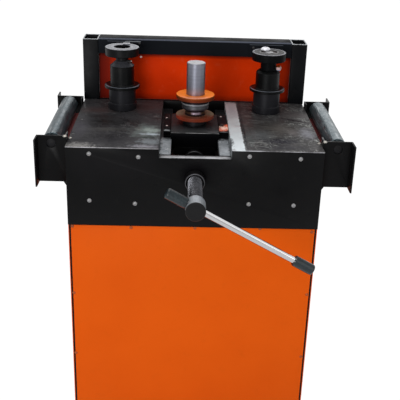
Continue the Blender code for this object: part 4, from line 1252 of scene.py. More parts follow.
@dataclass(frozen=True)
class Chrome(Finish):
    """Hard chrome with fine wiping marks along the bar, and bands of painted reflection across it.

    Attributes:
        colour: Its colour.
        second: The tone of its marks.
        roughness: Its roughness.
        turn: Degrees about Y that the bar is turned.
        centre: The point from which its bands of painted reflection are measured.
        reflection_bands: Painted reflections across the bar: their limits and their tones.
    """

    colour: Colour = (0.78, 0.78, 0.80)
    second: Colour = (0.55, 0.56, 0.58)
    roughness: float = 0.12
    turn: float = 0.0
    centre: Vector = Vector()
    reflection_bands: tuple[tuple[Range, Colour], ...] = ()

    def paint(self, graph: Graph) -> None:
        """Fine marks along the bar in tone and roughness, over its bands of painted reflection.

        Args:
            graph: The material's nodes.
        """
        along = graph.placed(turn=Vector((0.0, self.turn, 0.0)), size=Vector((30.0, 1.0, 1.0)))
        lines = graph.noise(900.0, 3.0, where=along)
        colour = graph.mix(graph.grade(lines, 0.35, 0.7), self.colour, self.second)
        across, _, level = graph.split(graph.placed(self.centre))
        across = graph.sum("MULTIPLY", across, sin(radians(self.turn)))
        height = graph.sum("ADD", across, graph.sum("MULTIPLY", level, cos(radians(self.turn))))
        for limits, reflection_tone in self.reflection_bands:
            colour = graph.mix(graph.within(height, limits, 0.0004), colour, reflection_tone)
        graph.surface(colour, graph.around(lines, self.roughness, 0.05, 0.08), 1.0)
        graph.bump(lines, 0.00005, 0.2)


@dataclass(frozen=True)
class Plastic(Finish):
    """Moulded plastic in two near tones, with a fine grain.

    Attributes:
        colour: Its colour.
        second: The tone of its clouds.
        roughness: Its roughness.
        gloss: Its shine.
        grain: Grains per metre.
    """

    colour: Colour = (0.03, 0.04, 0.05)
    second: Colour = (0.05, 0.065, 0.08)
    roughness: float = 0.45
    gloss: float = 0.35
    grain: float = 900.0

    def paint(self, graph: Graph) -> None:
        """Two near tones in clouds and a fine grain.

        Args:
            graph: The material's nodes.
        """
        cloud = graph.grade(graph.noise(60.0, 4.0), 0.35, 0.68)
        rough = graph.around(graph.noise(120.0, 4.0), self.roughness, 0.1, 0.1)
        graph.surface(graph.mix(cloud, self.colour, self.second), rough, gloss=self.gloss)
        graph.bump(graph.noise(self.grain, 2.0), 0.0001, 0.35)


ORANGE = Paint(
    "orange_gloss",
    colour=tone(224, 90, 15),
    second=tone(219, 86, 13),
    dirt=tone(150, 60, 20),
    dirtiness=0.10,
    gloss=0.03,
)
# The backboard: a deeper orange-red for the shade it stands in. Painted shade darkens it beside both posts, a
# dark band of painted shadow lies just under the top rail, and painted shade darkens its foot on the table.
SHADED_ORANGE = Paint(
    "orange_backboard",
    colour=tone(232, 58, 6),
    second=tone(206, 48, 5),
    dirt=tone(226, 108, 78),
    dirtiness=0.25,
    roughness=0.45,
    gloss=0.01,
    zones=(
        Zone(tone(120, 30, 20), across=(-0.400, -0.235), strength=0.85, soft=0.020),
        Zone(tone(70, 14, 14), across=(0.268, 0.400), strength=0.85, soft=0.022, mirrored=True),
        Zone(tone(60, 14, 10), level=(0.130, 0.150), strength=0.8, soft=0.005),
        Zone(tone(90, 20, 10), level=(-0.010, 0.008), strength=0.6, soft=0.010),
    ),
)
BLACK = Paint(
    "black_gloss",
    colour=tone(15, 15, 16),
    second=tone(11, 11, 12),
    dirt=tone(42, 40, 38),
    dirtiness=0.2,
    roughness=0.32,
    gloss=0.06,
)
# The top rail's painted reflections: its top face near-black, a blue-grey line near the top's front, and a
# light line along the top of its front face, brightest behind the left nut where it mirrors the nut's disc.
RAIL_BLACK = Paint(
    "rail_black",
    colour=tone(27, 29, 33),
    second=tone(24, 26, 30),
    dirt=tone(40, 40, 42),
    dirtiness=0.15,
    roughness=0.35,
    gloss=0.003,
    zones=(
        Zone(tone(5, 6, 9), depth=(0.4200, 0.510), level=(0.1785, 0.190), soft=0.0006),
        Zone(
            tone(78, 83, 96),
            depth=(0.4300, 0.450),
            level=(0.1785, 0.190),
            soft=0.0006,
            ragged=0.1,
            grain=22.0,
        ),
        Zone(tone(66, 70, 76), depth=(0.4200, 0.4297), level=(0.1745, 0.177), soft=0.0003),
        Zone(
            tone(128, 132, 136),
            across=(-0.205, -0.160),
            depth=(0.420, 0.4297),
            level=(0.1745, 0.177),
            soft=0.0003,
        ),
    ),
)
# The posts: a light grey band round their tops, broken up by noise, is a painted highlight; the near-black on
# the walls inside the open tubes is painted shade.
POST_BLACK = Paint(
    "post_black",
    colour=tone(14, 15, 17),
    second=tone(12, 13, 16),
    dirt=tone(42, 40, 38),
    dirtiness=0.2,
    roughness=0.32,
    gloss=0.05,
    zones=(
        Zone(tone(182, 186, 190), level=(0.1778, 0.190), soft=0.0004, ragged=0.35, grain=120.0),
        Zone(
            tone(4, 4, 5),
            depth=(0.4335, 0.4965),
            across=(0.2862, 0.3242),
            level=(-1.0, 0.1772),
            mirrored=True,
        ),
    ),
)
# The side sheets' lips beside the plates are painted a dull dark red: painted shade under the plates and
# rollers.
SIDE_ORANGE = replace(
    ORANGE,
    name="orange_side",
    zones=(Zone(tone(112, 60, 60), across=(0.3262, 0.360), level=(-0.06, 0.0), mirrored=True),),
)
# The apron: a dark seam line, a slightly darker patch round the lead nut that is painted shadow, a slightly
# lighter patch on the left, and pale specks on the right.
APRON_BLACK = replace(
    BLACK,
    name="apron_black",
    zones=(
        Zone(tone(13, 13, 14), across=(0.0914, 0.0926), level=(-0.214, -0.0276), soft=0.0004, strength=0.7),
        Zone(tone(18, 17, 19), across=(-0.300, -0.110), level=(-0.080, -0.010), soft=0.02, strength=0.6),
        Zone(tone(14, 13, 15), across=(-0.034, 0.034), level=(-0.110, -0.020), soft=0.012, strength=0.8),
        Zone(
            tone(60, 60, 62),
            across=(0.055, 0.095),
            level=(-0.100, -0.070),
            strength=0.2,
            soft=0.02,
            ragged=1.0,
            grain=300.0,
        ),
    ),
)
BLACK_EDGE = RubbedEdge("black_rubbed_edge", under=tone(120, 118, 116), over=tone(30, 30, 32), share=0.3)
ORANGE_EDGE = RubbedEdge("orange_rubbed_edge", under=tone(120, 60, 30), over=tone(225, 100, 25), share=0.15)
STEEL_EDGE = RubbedEdge("steel_bright_edge", under=tone(190, 190, 188), over=tone(80, 78, 76), share=0.7)
SCREW_ZINC = TurnedSteel(
    "screw_zinc",
    colour=tone(190, 186, 178),
    second=tone(150, 146, 140),
    stain=tone(90, 80, 70),
    stained=0.3,
    metallic=0.55,
    roughness=0.42,
    rings=300.0,
)
# Near-white and not metallic: a painted glint, for the small screw on the backboard, the small heads set in
# the strip screws and the small head on the left set screw.
GLINT_WHITE = TurnedSteel(
    "screw_painted_glint",
    colour=tone(255, 238, 232),
    second=tone(250, 226, 222),
    stain=tone(230, 190, 180),
    metallic=0.0,
    roughness=0.4,
    rings=300.0,
    gloss=0.5,
)
BOLT_GREY = TurnedSteel(
    "bolt_grey",
    colour=tone(150, 150, 152),
    second=tone(128, 128, 130),
    stain=tone(120, 112, 88),
    stained=0.5,
    metallic=0.4,
    roughness=0.42,
    rings=300.0,
)
BOLT_YELLOWED = replace(BOLT_GREY, name="bolt_yellowed", stain=tone(156, 150, 104), stained=0.95)
SCREW_PAINTED = Paint(
    "screw_painted", colour=tone(172, 84, 40), second=tone(146, 76, 44), dirt=tone(70, 50, 40), dirtiness=0.5
)
# Near-white: the bright steel head on the right nut, brightened by a painted highlight.
STUD_STEEL = TurnedSteel(
    "stud_steel",
    colour=tone(250, 250, 255),
    second=tone(215, 215, 222),
    stain=tone(150, 150, 158),
    stained=0.3,
    metallic=0.3,
    roughness=0.4,
    rings=300.0,
)
# The right set screw's head: pale pink-white as a painted highlight, with an orange-brown band above and a
# blue-grey band below as painted reflections.
SET_SCREW_GLINTS = Paint(
    "set_screw_painted_glints",
    colour=tone(226, 190, 188),
    second=tone(206, 178, 180),
    dirt=tone(90, 80, 80),
    gloss=0.3,
    zones=(
        Zone(tone(120, 62, 20), level=(0.1345, 0.150), soft=0.001),
        Zone(tone(176, 184, 210), level=(0.110, 0.1272), soft=0.001),
    ),
)
SLEEVE_EDGE = RubbedEdge("sleeve_bright_edge", under=tone(150, 152, 156), over=tone(60, 60, 62), share=0.5)
NUT_EDGE = RubbedEdge("nut_bright_edge", under=tone(200, 200, 204), over=tone(100, 100, 104), share=0.7)
SCREW_BLACK = Plastic("screw_black_oxide", colour=tone(30, 30, 32), second=tone(48, 47, 46), roughness=0.4)


class SubAssembly:
    """Base of every sub-assembly: seats its pieces on their bodies and gives them their finishes."""

    def seat(
        self,
        piece: Piece,
        body: Body,
        slot: Slot,
        finish: Finish,
        *nodes: str,
        edge: Optional[Finish] = None,
    ) -> Piece:
        """Gives a piece its finish and body, and hides the nodes it stands in for.

        Args:
            piece: The piece, in place.
            body: The body it moves with.
            slot: The record's slot for its finish. Not used.
            finish: Its finish.
            nodes: The nodes that it replaces.
            edge: The finish of its rubbed edges.

        Returns:
            The piece.
        """
        piece.data.materials.clear()
        piece.data.materials.append(finish.material())
        if edge is not None:
            piece.data.materials.append(edge.material())
        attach(piece, body.value)
        if nodes:
            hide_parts(*nodes)
        LOG.info("%s rides on %s", piece.name, body.value)
        return piece

    def round_off(
        self,
        node: str,
        width: float,
        body: Body,
        slot: Slot,
        finish: Finish,
        edge: Optional[Finish] = None,
        worn: bool = True,
    ) -> None:
        """Seats a copy of a node, its edges rounded, in the node's place.

        Args:
            node: The node.
            width: How far the rounding reaches.
            body: The body it moves with.
            slot: The record's slot for its finish.
            finish: Its finish.
            edge: The finish of its rubbed edges.
            worn: Whether the rounding takes the material of rubbed edges.
        """
        self.seat(worn_copy(node, width, worn=worn), body, slot, finish, node, edge=edge)

    def dress(self, node: str, slot: Slot, finish: Finish) -> None:
        """Gives a node that stays as it is its finish.

        Args:
            node: The node.
            slot: The record's slot for its finish. Not used.
            finish: Its finish.
        """
        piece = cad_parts[node]
        piece.data.materials.clear()
        piece.data.materials.append(finish.material())
        LOG.info("%s keeps its shape", node)

    def build(self) -> None:
        """Models and dresses the sub-assembly."""
        raise NotImplementedError


class ScrewHead(Enum):
    """The kinds of screw head on the machine."""

    DOME = "dome"
    SOCKET = "socket"
    PAN = "pan"


@dataclass(frozen=True)
class Fastener:
    """A screw head, modelled once at the origin and copied to its places.

    Attributes:
        kind: The kind of head.
        radius: The head's radius.
        height: How far the head stands out.
        drive: The radius of the key's hexagon.
        chamfer: A socket head's chamfer, as a share of its radius.
        rim: The height of a round head's rim, as a share of its own.
        arc_steps: Facets from a round head's crown to its rim.
        key_sides: How many sides the key has.
        key_length: The key's length as a share of the height. Half of it goes in.
        spin: How much further each copy is turned than the one before, in radians.
    """

    kind: ScrewHead
    radius: float
    height: float
    drive: float
    chamfer: float = 0.14
    rim: float = 0.12
    arc_steps: int = 6
    key_sides: int = 6
    key_length: float = 0.9
    spin: float = 0.83

    def profile(self) -> list[tuple[float, float]]:
        """The head's outline from its crown down to its seat.

        Returns:
            Radius and height pairs.
        """
        foot = [(self.radius, 0.0), (0.0, 0.0)]
        if self.kind is ScrewHead.SOCKET:
            chamfer = self.radius * self.chamfer
            crown = [(self.radius - chamfer, self.height), (self.radius, self.height - chamfer)]
            return [(0.0, self.height), *crown, *foot]
        turns = [pi / 2 * step / self.arc_steps for step in range(self.arc_steps)]
        arc = [(self.radius * sin(turn), self.height * cos(turn)) for turn in turns]
        return [*arc, (self.radius, self.height * self.rim), *foot]

    def master(self) -> Piece:
        """Models the head with its key recess.

        Returns:
            The head at the origin, facing up.
        """
        head = lathe(f"{self.kind.value}_head", self.profile(), Vector(), Axis.Z, steps=BOLT_STEPS)
        length = self.height * self.key_length
        key = rod("key", self.drive, length, UP * self.height, Axis.Z, self.key_sides)
        return cut(head, key)

    def fit(self, owner: SubAssembly, places: Sequence[Place], body: Body, finish: Finish) -> None:
        """Puts copies of the head in place.

        Args:
            owner: The sub-assembly they hold.
            places: Each head's name, seat and the direction it faces.
            body: The body they ride on.
            finish: Their finish.
        """
        master = self.master()
        for index, (name, seat, facing) in enumerate(places):
            spin = Matrix.Rotation(index * self.spin, 4, "Z")
            piece = copied(master, name, Matrix.Translation(seat) @ turn_to(facing) @ spin)
            owner.seat(piece, body, Slot.BRIGHT, finish)
        bpy.data.objects.remove(master, do_unlink=True)


@dataclass
class Cabinet(SubAssembly):
    """Posts, rails, sheets and the screws that hold the sheets.

    Attributes:
        sheet_edge: Rounding of the sheets' edges.
        tube_corner: Outer corner radius of the square tubes.
        post_wall: Wall of the rear posts.
        post_seam: How far under the table's top the rear posts widen.
        post_overhang: How much further out their outer wall stands above that.
        lip_root: How far out of the plates' ends a side sheet counts as its lip.
        lip_overhang: How much further the lips reach under the rollers.
        rail_edge: Rounding of the base plate, the lower rail and the gear deck.
        apron_places: The apron bolts' places across and above the table's edge.
        front_places: The front sheet's screws' places.
        apron_bolt: The bolt of the apron.
        front_screw: The screw of the front sheet.
        sheet_screw: The screw of the side and rear sheets.
        side_rows: Screws in a column of a side or rear sheet.
        side_top: The level of a side sheet's highest screw.
        side_pitch: How far apart its screws are.
        side_insets: How far its columns are from its front and its back.
        rear_inset: How far the rear sheet's screws are from its edges.
    """

    sheet_edge: float = 0.0006
    tube_corner: float = 0.002
    post_wall: float = 0.003
    post_seam: float = 0.002
    post_overhang: float = 0.0045
    lip_root: float = 0.005
    lip_overhang: float = 0.0115
    rail_edge: float = 0.001
    apron_bolt: Fastener = Fastener(ScrewHead.DOME, 0.0058, 0.0034, 0.0022)
    front_screw: Fastener = Fastener(ScrewHead.PAN, 0.0044, 0.0022, 0.0017)
    sheet_screw: Fastener = Fastener(ScrewHead.PAN, 0.0048, 0.0026, 0.0018)
    side_rows: int = 5
    side_top: float = -0.150
    side_pitch: float = 0.170
    side_insets: tuple[float, float] = (0.022, 0.030)
    rear_inset: float = 0.020
    apron_places: tuple[tuple[float, float], ...] = (
        (-0.2659, -0.0180),
        (-0.1428, -0.0238),
        (-0.2676, -0.1447),
        (-0.1514, -0.1510),
        (0.1363, -0.0163),
        (0.2653, -0.0200),
        (0.1405, -0.1462),
        (0.2566, -0.1475),
    )
    front_places: tuple[tuple[float, float], ...] = (
        (-0.314, -0.219),
        (-0.162, -0.220),
        (0.004, -0.218),
        (0.174, -0.216),
        (0.311, -0.223),
        (-0.316, -0.417),
        (0.313, -0.411),
        (-0.317, -0.608),
        (0.313, -0.611),
        (-0.316, -0.845),
        (0.313, -0.845),
        (0.0, -0.845),
    )

    def build(self) -> None:
        """Models and dresses the cabinet."""
        self.sheets()
        self.posts()
        self.rails()
        self.bolts()
        self.side_screws()
        self.rear_screws()

    def sheets(self) -> None:
        """The orange sheets and the black apron."""
        for node in ("front_panel", "rear_panel"):
            self.round_off(node, self.sheet_edge, Body.FRAME, Slot.ORANGE, ORANGE, ORANGE_EDGE)
        for side, word in WORDS.items():
            node = f"{word}_panel"
            piece = from_node(node, node + "_finished")
            self.widen_lip(piece, side)
            round_edges(piece, self.sheet_edge, worn=True)
            self.seat(piece, Body.FRAME, Slot.ORANGE, SIDE_ORANGE, node, edge=ORANGE_EDGE)
        self.round_off("front_apron", self.sheet_edge, Body.FRAME, Slot.BLACK, APRON_BLACK, BLACK_EDGE)

    def widen_lip(self, piece: Piece, side: int) -> None:
        """Draws a side sheet's lip out, under the side roller.

        Args:
            piece: The side sheet.
            side: LEFT or RIGHT.
        """
        inner = abs(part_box("table_plate_left")[0].x) + self.lip_root
        out = Vector((side * self.lip_overhang, 0.0, 0.0))
        move_vertices(piece, lambda place: side * place.x > inner, out)

    def posts(self) -> None:
        """Square tubes with rounded corners, open at the top."""
        for side, word in WORDS.items():
            for row in ("front", "rear"):
                node = f"{row}_{word}_post"
                piece = from_node(node, node + "_finished")
                if row == "rear":
                    self.widen(piece, side)
                bevel_edges(piece, self.tube_corner, 3, lambda middle, along: abs(along.z) > 0.9)
                round_edges(piece, self.sheet_edge / 2)
                self.seat(piece, Body.FRAME, Slot.BLACK, POST_BLACK, node)

    def widen(self, piece: Piece, side: int) -> None:
        """Moves a rear post's outer wall out where it stands above the table.

        Args:
            piece: The post.
            side: LEFT or RIGHT.
        """
        wall = abs(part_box("rear_right_post")[1].x) - 2 * self.post_wall
        seam = DATUM.top - self.post_seam
        with edit_mode(piece):
            for level in (seam, seam + self.sheet_edge):
                bpy.ops.mesh.select_all(action="SELECT")
                bpy.ops.mesh.bisect(plane_co=(0.0, 0.0, level), plane_no=UP)
        above = seam + self.sheet_edge / 2
        out = Vector((side * self.post_overhang, 0.0, 0.0))
        move_vertices(piece, lambda place: place.z > above and side * place.x > wall, out)

    def rails(self) -> None:
        """Base plate, the rail behind the table and the gear deck."""
        for node in ("base_plate", "lower_rear_rail", "gear_deck"):
            self.round_off(node, self.rail_edge, Body.FRAME, Slot.BLACK, BLACK, BLACK_EDGE)

    def bolts(self) -> None:
        """Dome bolts on the apron and pan screws on the front sheet."""
        seats = [DATUM.at(across, 0.0, level) for across, level in self.apron_places]
        places = numbered("apron_bolt", seats, FRONT)
        self.apron_bolt.fit(self, places[:-2], Body.FRAME, BOLT_GREY)
        self.apron_bolt.fit(self, places[-2:], Body.FRAME, BOLT_YELLOWED)
        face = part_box("front_panel")[0].y - DATUM.front
        seats = [DATUM.at(across, face, level) for across, level in self.front_places]
        self.front_screw.fit(self, numbered("front_screw", seats, FRONT), Body.FRAME, SCREW_PAINTED)

    def side_screws(self) -> None:
        """Screws down the front and back edges of both side sheets."""
        reach = abs(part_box("table_plate_left")[0].x)
        rows = [self.side_top - row * self.side_pitch for row in range(self.side_rows)]
        for side, word in WORDS.items():
            near, far = self.side_insets
            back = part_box(f"{word}_panel")[1].y - DATUM.front - far
            places = []
            for column, depth in (("front", near), ("rear", back)):
                seats = [DATUM.at(side * reach, depth, level) for level in rows]
                places += numbered(f"{word}_{column}_side_screw", seats, Vector((side, 0.0, 0.0)))
            self.sheet_screw.fit(self, places, Body.FRAME, SCREW_ZINC)

    def rear_screws(self) -> None:
        """Screws down both edges of the rear sheet."""
        low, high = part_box("rear_panel")
        inset = self.rear_inset
        places = []
        for row in range(self.side_rows):
            level = low.z + inset + (high.z - low.z - 2 * inset) * row / (self.side_rows - 1)
            for side, word in WORDS.items():
                seat = Vector((side * (high.x - inset), high.y, level))
                places.append((f"rear_{word}_screw_{row + 1}", seat, BACK))
        self.sheet_screw.fit(self, places, Body.FRAME, SCREW_ZINC)


@dataclass
class Backboard(SubAssembly):
    """Top rail with its pads, and the orange sheet under it.

    Attributes:
        rail_edge: Rounding of the rail.
        sheet_edge: Rounding of the sheet.
        screw: The screw of the pads and the sheet.
        screw_places: The pads' screws' places across and above the table's edge.
        dot_place: The sheet's screw's place.
    """

    rail_edge: float = 0.0012
    sheet_edge: float = 0.0004
    screw: Fastener = Fastener(ScrewHead.DOME, 0.0036, 0.0020, 0.0014)
    screw_places: tuple[tuple[float, float], ...] = ((-0.1625, 0.1702), (0.1687, 0.1667))
    dot_place: tuple[float, float] = (-0.1592, 0.1273)

    def build(self) -> None:
        """Models and dresses the backboard."""
        rail = worn_copy("top_rail", self.rail_edge, 3)
        self.seat(rail, Body.FRAME, Slot.BLACK, RAIL_BLACK, "top_rail", edge=BLACK_EDGE)
        sheet = "backboard_panel"
        self.round_off(sheet, self.sheet_edge, Body.FRAME, Slot.ORANGE, SHADED_ORANGE, ORANGE_EDGE)
        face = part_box("top_rail")[0].y - DATUM.front
        places = [
            (f"{word}_pad_screw", DATUM.at(across, face, level), FRONT)
            for word, (across, level) in zip(WORDS.values(), self.screw_places)
        ]
        self.screw.fit(self, places, Body.FRAME, SCREW_BLACK)
        # The backboard's small screw is near-white: a painted glint.
        across, level = self.dot_place
        seat = DATUM.at(across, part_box(sheet)[0].y - DATUM.front, level)
        self.screw.fit(self, [("backboard_screw", seat, FRONT)], Body.FRAME, GLINT_WHITE)


@dataclass
class Table(SubAssembly):
    """Both plates, the ledges between them, the crossbar and the lead nut.

    Attributes:
        edge: Rounding of the plates, the ledges and the crossbar.
        nut_edge: Rounding of the lead nut.
        nose_radius: The radius of the nut's nose.
        nose_length: How far the nose stands out of the nut's face.
        nose_gap: The gap between the nose and the pieces beside it.
        nose_chamfer: The chamfer round the nose's front.
        nose_wear_and_highlight: The chamfer's lighter tone, partly rubbed metal and partly a painted
            highlight.
        screw: The screw of the plates.
        plate_screws: The screws' places across and behind the table's edge.
    """

    edge: float = 0.0009
    nut_edge: float = 0.0004
    nose_radius: float = 0.0250
    nose_length: float = 0.0290
    nose_gap: float = 0.0005
    nose_chamfer: float = 0.0020
    nose_wear_and_highlight: Colour = tone(84, 84, 88)
    screw: Fastener = Fastener(ScrewHead.SOCKET, 0.0042, 0.0006, 0.0024)
    plate_screws: tuple[tuple[float, float], ...] = ((-0.309, 0.223), (-0.317, 0.097), (0.310, 0.098))

    def build(self) -> None:
        """Models and dresses the table."""
        finishes: dict[str, Finish] = {}
        for word in WORDS.values():
            finishes[f"table_plate_{word}"] = PLATE_STEEL[word]
            finishes[f"guide_rail_{word}"] = LEDGE_STEEL
        finishes["front_crossbar"] = CROSSBAR_STEEL
        for node, finish in finishes.items():
            self.round_off(node, self.edge, Body.FRAME, Slot.TABLE, finish, STEEL_EDGE)
        centre = middle_of("lead_nut")
        bronze = replace(NUT_BRONZE, centre=centre)
        self.round_off("lead_nut", self.nut_edge, Body.FRAME, Slot.BRONZE, bronze)
        self.nut_nose(centre, bronze)
        seats = [DATUM.at(across, depth, 0.0) for across, depth in self.plate_screws]
        self.screw.fit(self, numbered("table_screw", seats, UP), Body.FRAME, SCREW_BLACK)

    def nut_nose(self, centre: Vector, finish: Finish) -> None:
        """The lead nut's nose, which stands out of the apron round the screw.

        Args:
            centre: A point on the nut's axis.
            finish: The nut's finish.
        """
        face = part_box("lead_nut")[0].y - self.nose_gap
        screw = (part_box("lead_screw")[1].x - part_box("lead_screw")[0].x) / 2
        radius, length, chamfer = self.nose_radius, self.nose_length, self.nose_chamfer
        profile = [
            (screw + self.nose_gap, 0.0),
            (radius, 0.0),
            (radius, chamfer - length),
            (radius - chamfer, -length),
            (radius - chamfer - self.edge, -length),
            (screw + self.nose_gap, 2 * chamfer - length),
        ]
        piece = lathe("lead_nut_nose", profile, Vector((centre.x, face, centre.z)), Axis.Y, bore=True)
        round_edges(piece, self.edge / 3)
        # The chamfer round the nose's front is lighter all round: partly rubbed metal and partly a painted
        # highlight.
        front = face - length - DATUM.front
        outside, ahead = (radius - chamfer, 1.0), (front - 1.0, front + chamfer)
        rubbed = Band(self.nose_wear_and_highlight, radius=outside, depth=ahead, soft=0.00002)
        finish = replace(finish, name="lead_nut_nose_bronze", bands=(rubbed,))
        self.seat(piece, Body.FRAME, Slot.BRONZE, finish)


NUT_BRONZE = TurnedSteel(
    "lead_nut_bronze",
    axis=Axis.Y,
    colour=tone(20, 19, 20),
    second=tone(13, 12, 13),
    stain=tone(10, 9, 9),
    stained=0.5,
    metallic=0.3,
    gloss=0.1,
)
LEFT_MARKS_AND_PAINTED_LIGHT = (
    Spot(-0.330, -0.282, 0.080, 0.250, tone(76, 74, 82), 0.6, soft=0.8),
    # Pinkish grey at the back of the plate, here and in the next mark: painted reflection of the orange
    # backboard.
    Spot(-0.325, -0.230, 0.285, 0.345, tone(88, 68, 66), 0.6, soft=0.8),
    Spot(-0.185, -0.092, 0.300, 0.430, tone(82, 62, 62), 0.6, soft=0.8),
    # A dark line turned across the plate: a painted pipe shadow.
    Spot(-0.300, -0.212, 0.235, 0.272, tone(40, 32, 32), 0.6, soft=0.8, turn=-6.0),
    Spot(-0.300, -0.170, 0.172, 0.245, tone(34, 33, 33), 0.8, soft=0.8),
    Spot(-0.280, -0.178, 0.128, 0.160, tone(84, 83, 81), 0.7, soft=0.7, ragged=0.5),
    Spot(-0.280, -0.165, 0.022, 0.118, tone(48, 47, 50), 0.7, soft=0.7),
    Spot(-0.168, -0.090, 0.086, 0.190, tone(112, 122, 120), 0.85, soft=0.6, ragged=0.6, grain=60.0),
    Spot(-0.146, -0.092, 0.124, 0.162, tone(146, 156, 152), 0.85, soft=0.6, ragged=0.6, turn=-12.0),
    Spot(-0.148, -0.088, 0.102, 0.119, tone(168, 178, 184), 0.9, soft=0.5, ragged=0.4, turn=-4.0),
    Spot(-0.152, -0.105, 0.076, 0.091, tone(50, 58, 56), 0.8, soft=0.6, ragged=0.6),
    Spot(-0.148, -0.088, 0.030, 0.070, tone(126, 132, 136), 0.85, soft=0.6, ragged=0.6),
    Spot(-0.165, -0.088, 0.004, 0.022, tone(146, 145, 152), 0.8, soft=0.6, ragged=0.6),
    Spot(-0.335, -0.255, -0.010, 0.030, tone(140, 138, 136), 0.9, soft=0.6, ragged=0.9, grain=130.0),
    # Dark at the front of the inner edge: a painted shadow line.
    Spot(-0.096, -0.082, 0.000, 0.036, tone(24, 24, 26), 0.7, soft=0.5),
)
RIGHT_MARKS_AND_PAINTED_SHADOW = (
    Spot(0.249, 0.330, 0.275, 0.345, tone(96, 90, 90), 0.6, soft=0.8),
    Spot(0.120, 0.250, 0.300, 0.430, tone(54, 46, 50), 0.6, soft=0.8),
    # A dark line turned across the plate: a painted pipe shadow.
    Spot(0.230, 0.330, 0.252, 0.266, tone(48, 40, 44), 0.8, soft=0.6, ragged=0.3, turn=-28.0),
    Spot(0.140, 0.290, 0.120, 0.250, tone(74, 70, 66), 0.5, soft=0.8),
    Spot(0.246, 0.280, 0.122, 0.190, tone(92, 84, 84), 0.6, soft=0.7),
    Spot(0.280, 0.322, 0.100, 0.186, tone(136, 136, 142), 0.8, soft=0.7, ragged=0.5),
    Spot(0.200, 0.260, 0.150, 0.220, tone(104, 100, 96), 0.6, soft=0.8, ragged=0.9, grain=220.0),
    Spot(0.140, 0.200, 0.085, 0.160, tone(110, 114, 116), 0.6, soft=0.8, ragged=0.9, grain=200.0),
    Spot(0.168, 0.272, 0.054, 0.098, tone(46, 45, 54), 0.7, soft=0.7),
    Spot(0.150, 0.305, 0.002, 0.052, tone(56, 55, 60), 0.7, soft=0.8, ragged=0.4),
    Spot(0.298, 0.330, 0.000, 0.060, tone(112, 110, 110), 0.75, soft=0.7, ragged=0.9, grain=130.0),
    Spot(0.128, 0.152, 0.045, 0.150, tone(84, 90, 90), 0.6, soft=0.7, ragged=0.6),
    Spot(0.125, 0.134, -0.010, 0.430, tone(44, 48, 50), 0.7, soft=0.4, ragged=0.3, square=True),
    Spot(0.091, 0.1245, -0.010, 0.430, tone(220, 229, 232), 0.98, soft=0.06, ragged=0.12, square=True),
    Spot(0.091, 0.1245, 0.290, 0.440, tone(160, 166, 178), 0.5, soft=0.8, ragged=0.4, square=True),
    Spot(0.091, 0.1245, -0.060, 0.120, tone(205, 211, 214), 0.6, grain=150.0, square=True),
    Spot(0.086, 0.098, 0.030, 0.094, tone(70, 74, 78), 0.85, soft=0.5, ragged=0.9, grain=150.0),
    Spot(0.307, 0.3135, 0.096, 0.103, tone(26, 30, 34), 0.9, soft=0.5),
)
PLATE_STEEL = {
    "left": WornSteel(
        "left_plate_steel",
        dark=tone(46, 45, 47),
        light=tone(80, 79, 81),
        speck=tone(150, 149, 149),
        scratched=0.5,
        lip=tone(150, 149, 152),
        spots=LEFT_MARKS_AND_PAINTED_LIGHT,
    ),
    "right": WornSteel(
        "right_plate_steel",
        dark=tone(48, 47, 48),
        light=tone(90, 88, 88),
        speck=tone(196, 198, 194),
        scratched=1.0,
        lip=tone(170, 170, 176),
        spots=RIGHT_MARKS_AND_PAINTED_SHADOW,
    ),
}
# The ledges: painted shade darkens their front faces, the stretch under the carriage, the stretch behind it,
# and their outer edges under the plates.
LEDGE_STEEL = WornSteel(
    "ledge_steel",
    dark=tone(84, 88, 92),
    light=tone(172, 177, 182),
    speck=tone(214, 218, 220),
    scratched=0.8,
    fronts=tone(40, 40, 40),
    spots=(
        Spot(-0.130, 0.130, 0.315, 0.500, tone(16, 15, 16), 0.95, soft=0.1, ragged=0.1, square=True),
        Spot(-0.130, 0.130, 0.145, 0.320, tone(40, 36, 38), 0.8, soft=0.1, ragged=0.2, square=True),
        Spot(-0.130, -0.0895, -0.010, 0.430, tone(60, 62, 64), 0.7, soft=0.1, square=True),
        Spot(0.0885, 0.130, -0.010, 0.430, tone(60, 62, 64), 0.7, soft=0.1, square=True),
    ),
)
CROSSBAR_STEEL = WornSteel(
    "crossbar_steel",
    dark=tone(10, 10, 11),
    light=tone(16, 16, 17),
    speck=tone(60, 60, 62),
    scratched=0.2,
    fronts=tone(26, 26, 27),
    spots=(
        Spot(-0.0930, 0.0930, -0.003, 0.0185, tone(150, 151, 154), 1.0, soft=0.15, ragged=0.1, square=True),
        Spot(
            -0.0625, 0.0625, 0.001, 0.0120, tone(206, 207, 211), 0.9,
            soft=0.6, ragged=0.5, grain=40.0, square=True,
        ),
    ),
)
# The carriage block: its front faces near-black, painted shade.
CARRIAGE_STEEL = WornSteel(
    "carriage_steel",
    metallic=0.1,
    dark=tone(36, 36, 37),
    light=tone(52, 51, 53),
    speck=tone(100, 98, 98),
    scratched=0.3,
    fronts=tone(9, 9, 11),
    lip=tone(190, 190, 190),
    lip_level=-0.0062,
    spots=(
        Spot(-0.062, 0.062, 0.142, 0.176, tone(58, 60, 60), 0.5, soft=0.8),
        Spot(0.030, 0.062, 0.148, 0.166, tone(84, 84, 86), 0.6, soft=0.8, ragged=0.8),
    ),
)
# The keeper is near-black all over: painted shade in the channel.
KEEPER_STEEL = WornSteel(
    "keeper_steel",
    dark=tone(8, 8, 9),
    light=tone(16, 16, 17),
    speck=tone(50, 50, 50),
    scratched=0.2,
    gloss=0.02,
)
COLLAR_STEEL = TurnedSteel(
    "collar_steel",
    axis=Axis.Y,
    colour=tone(60, 60, 62),
    second=tone(40, 40, 42),
    stained=0.3,
)
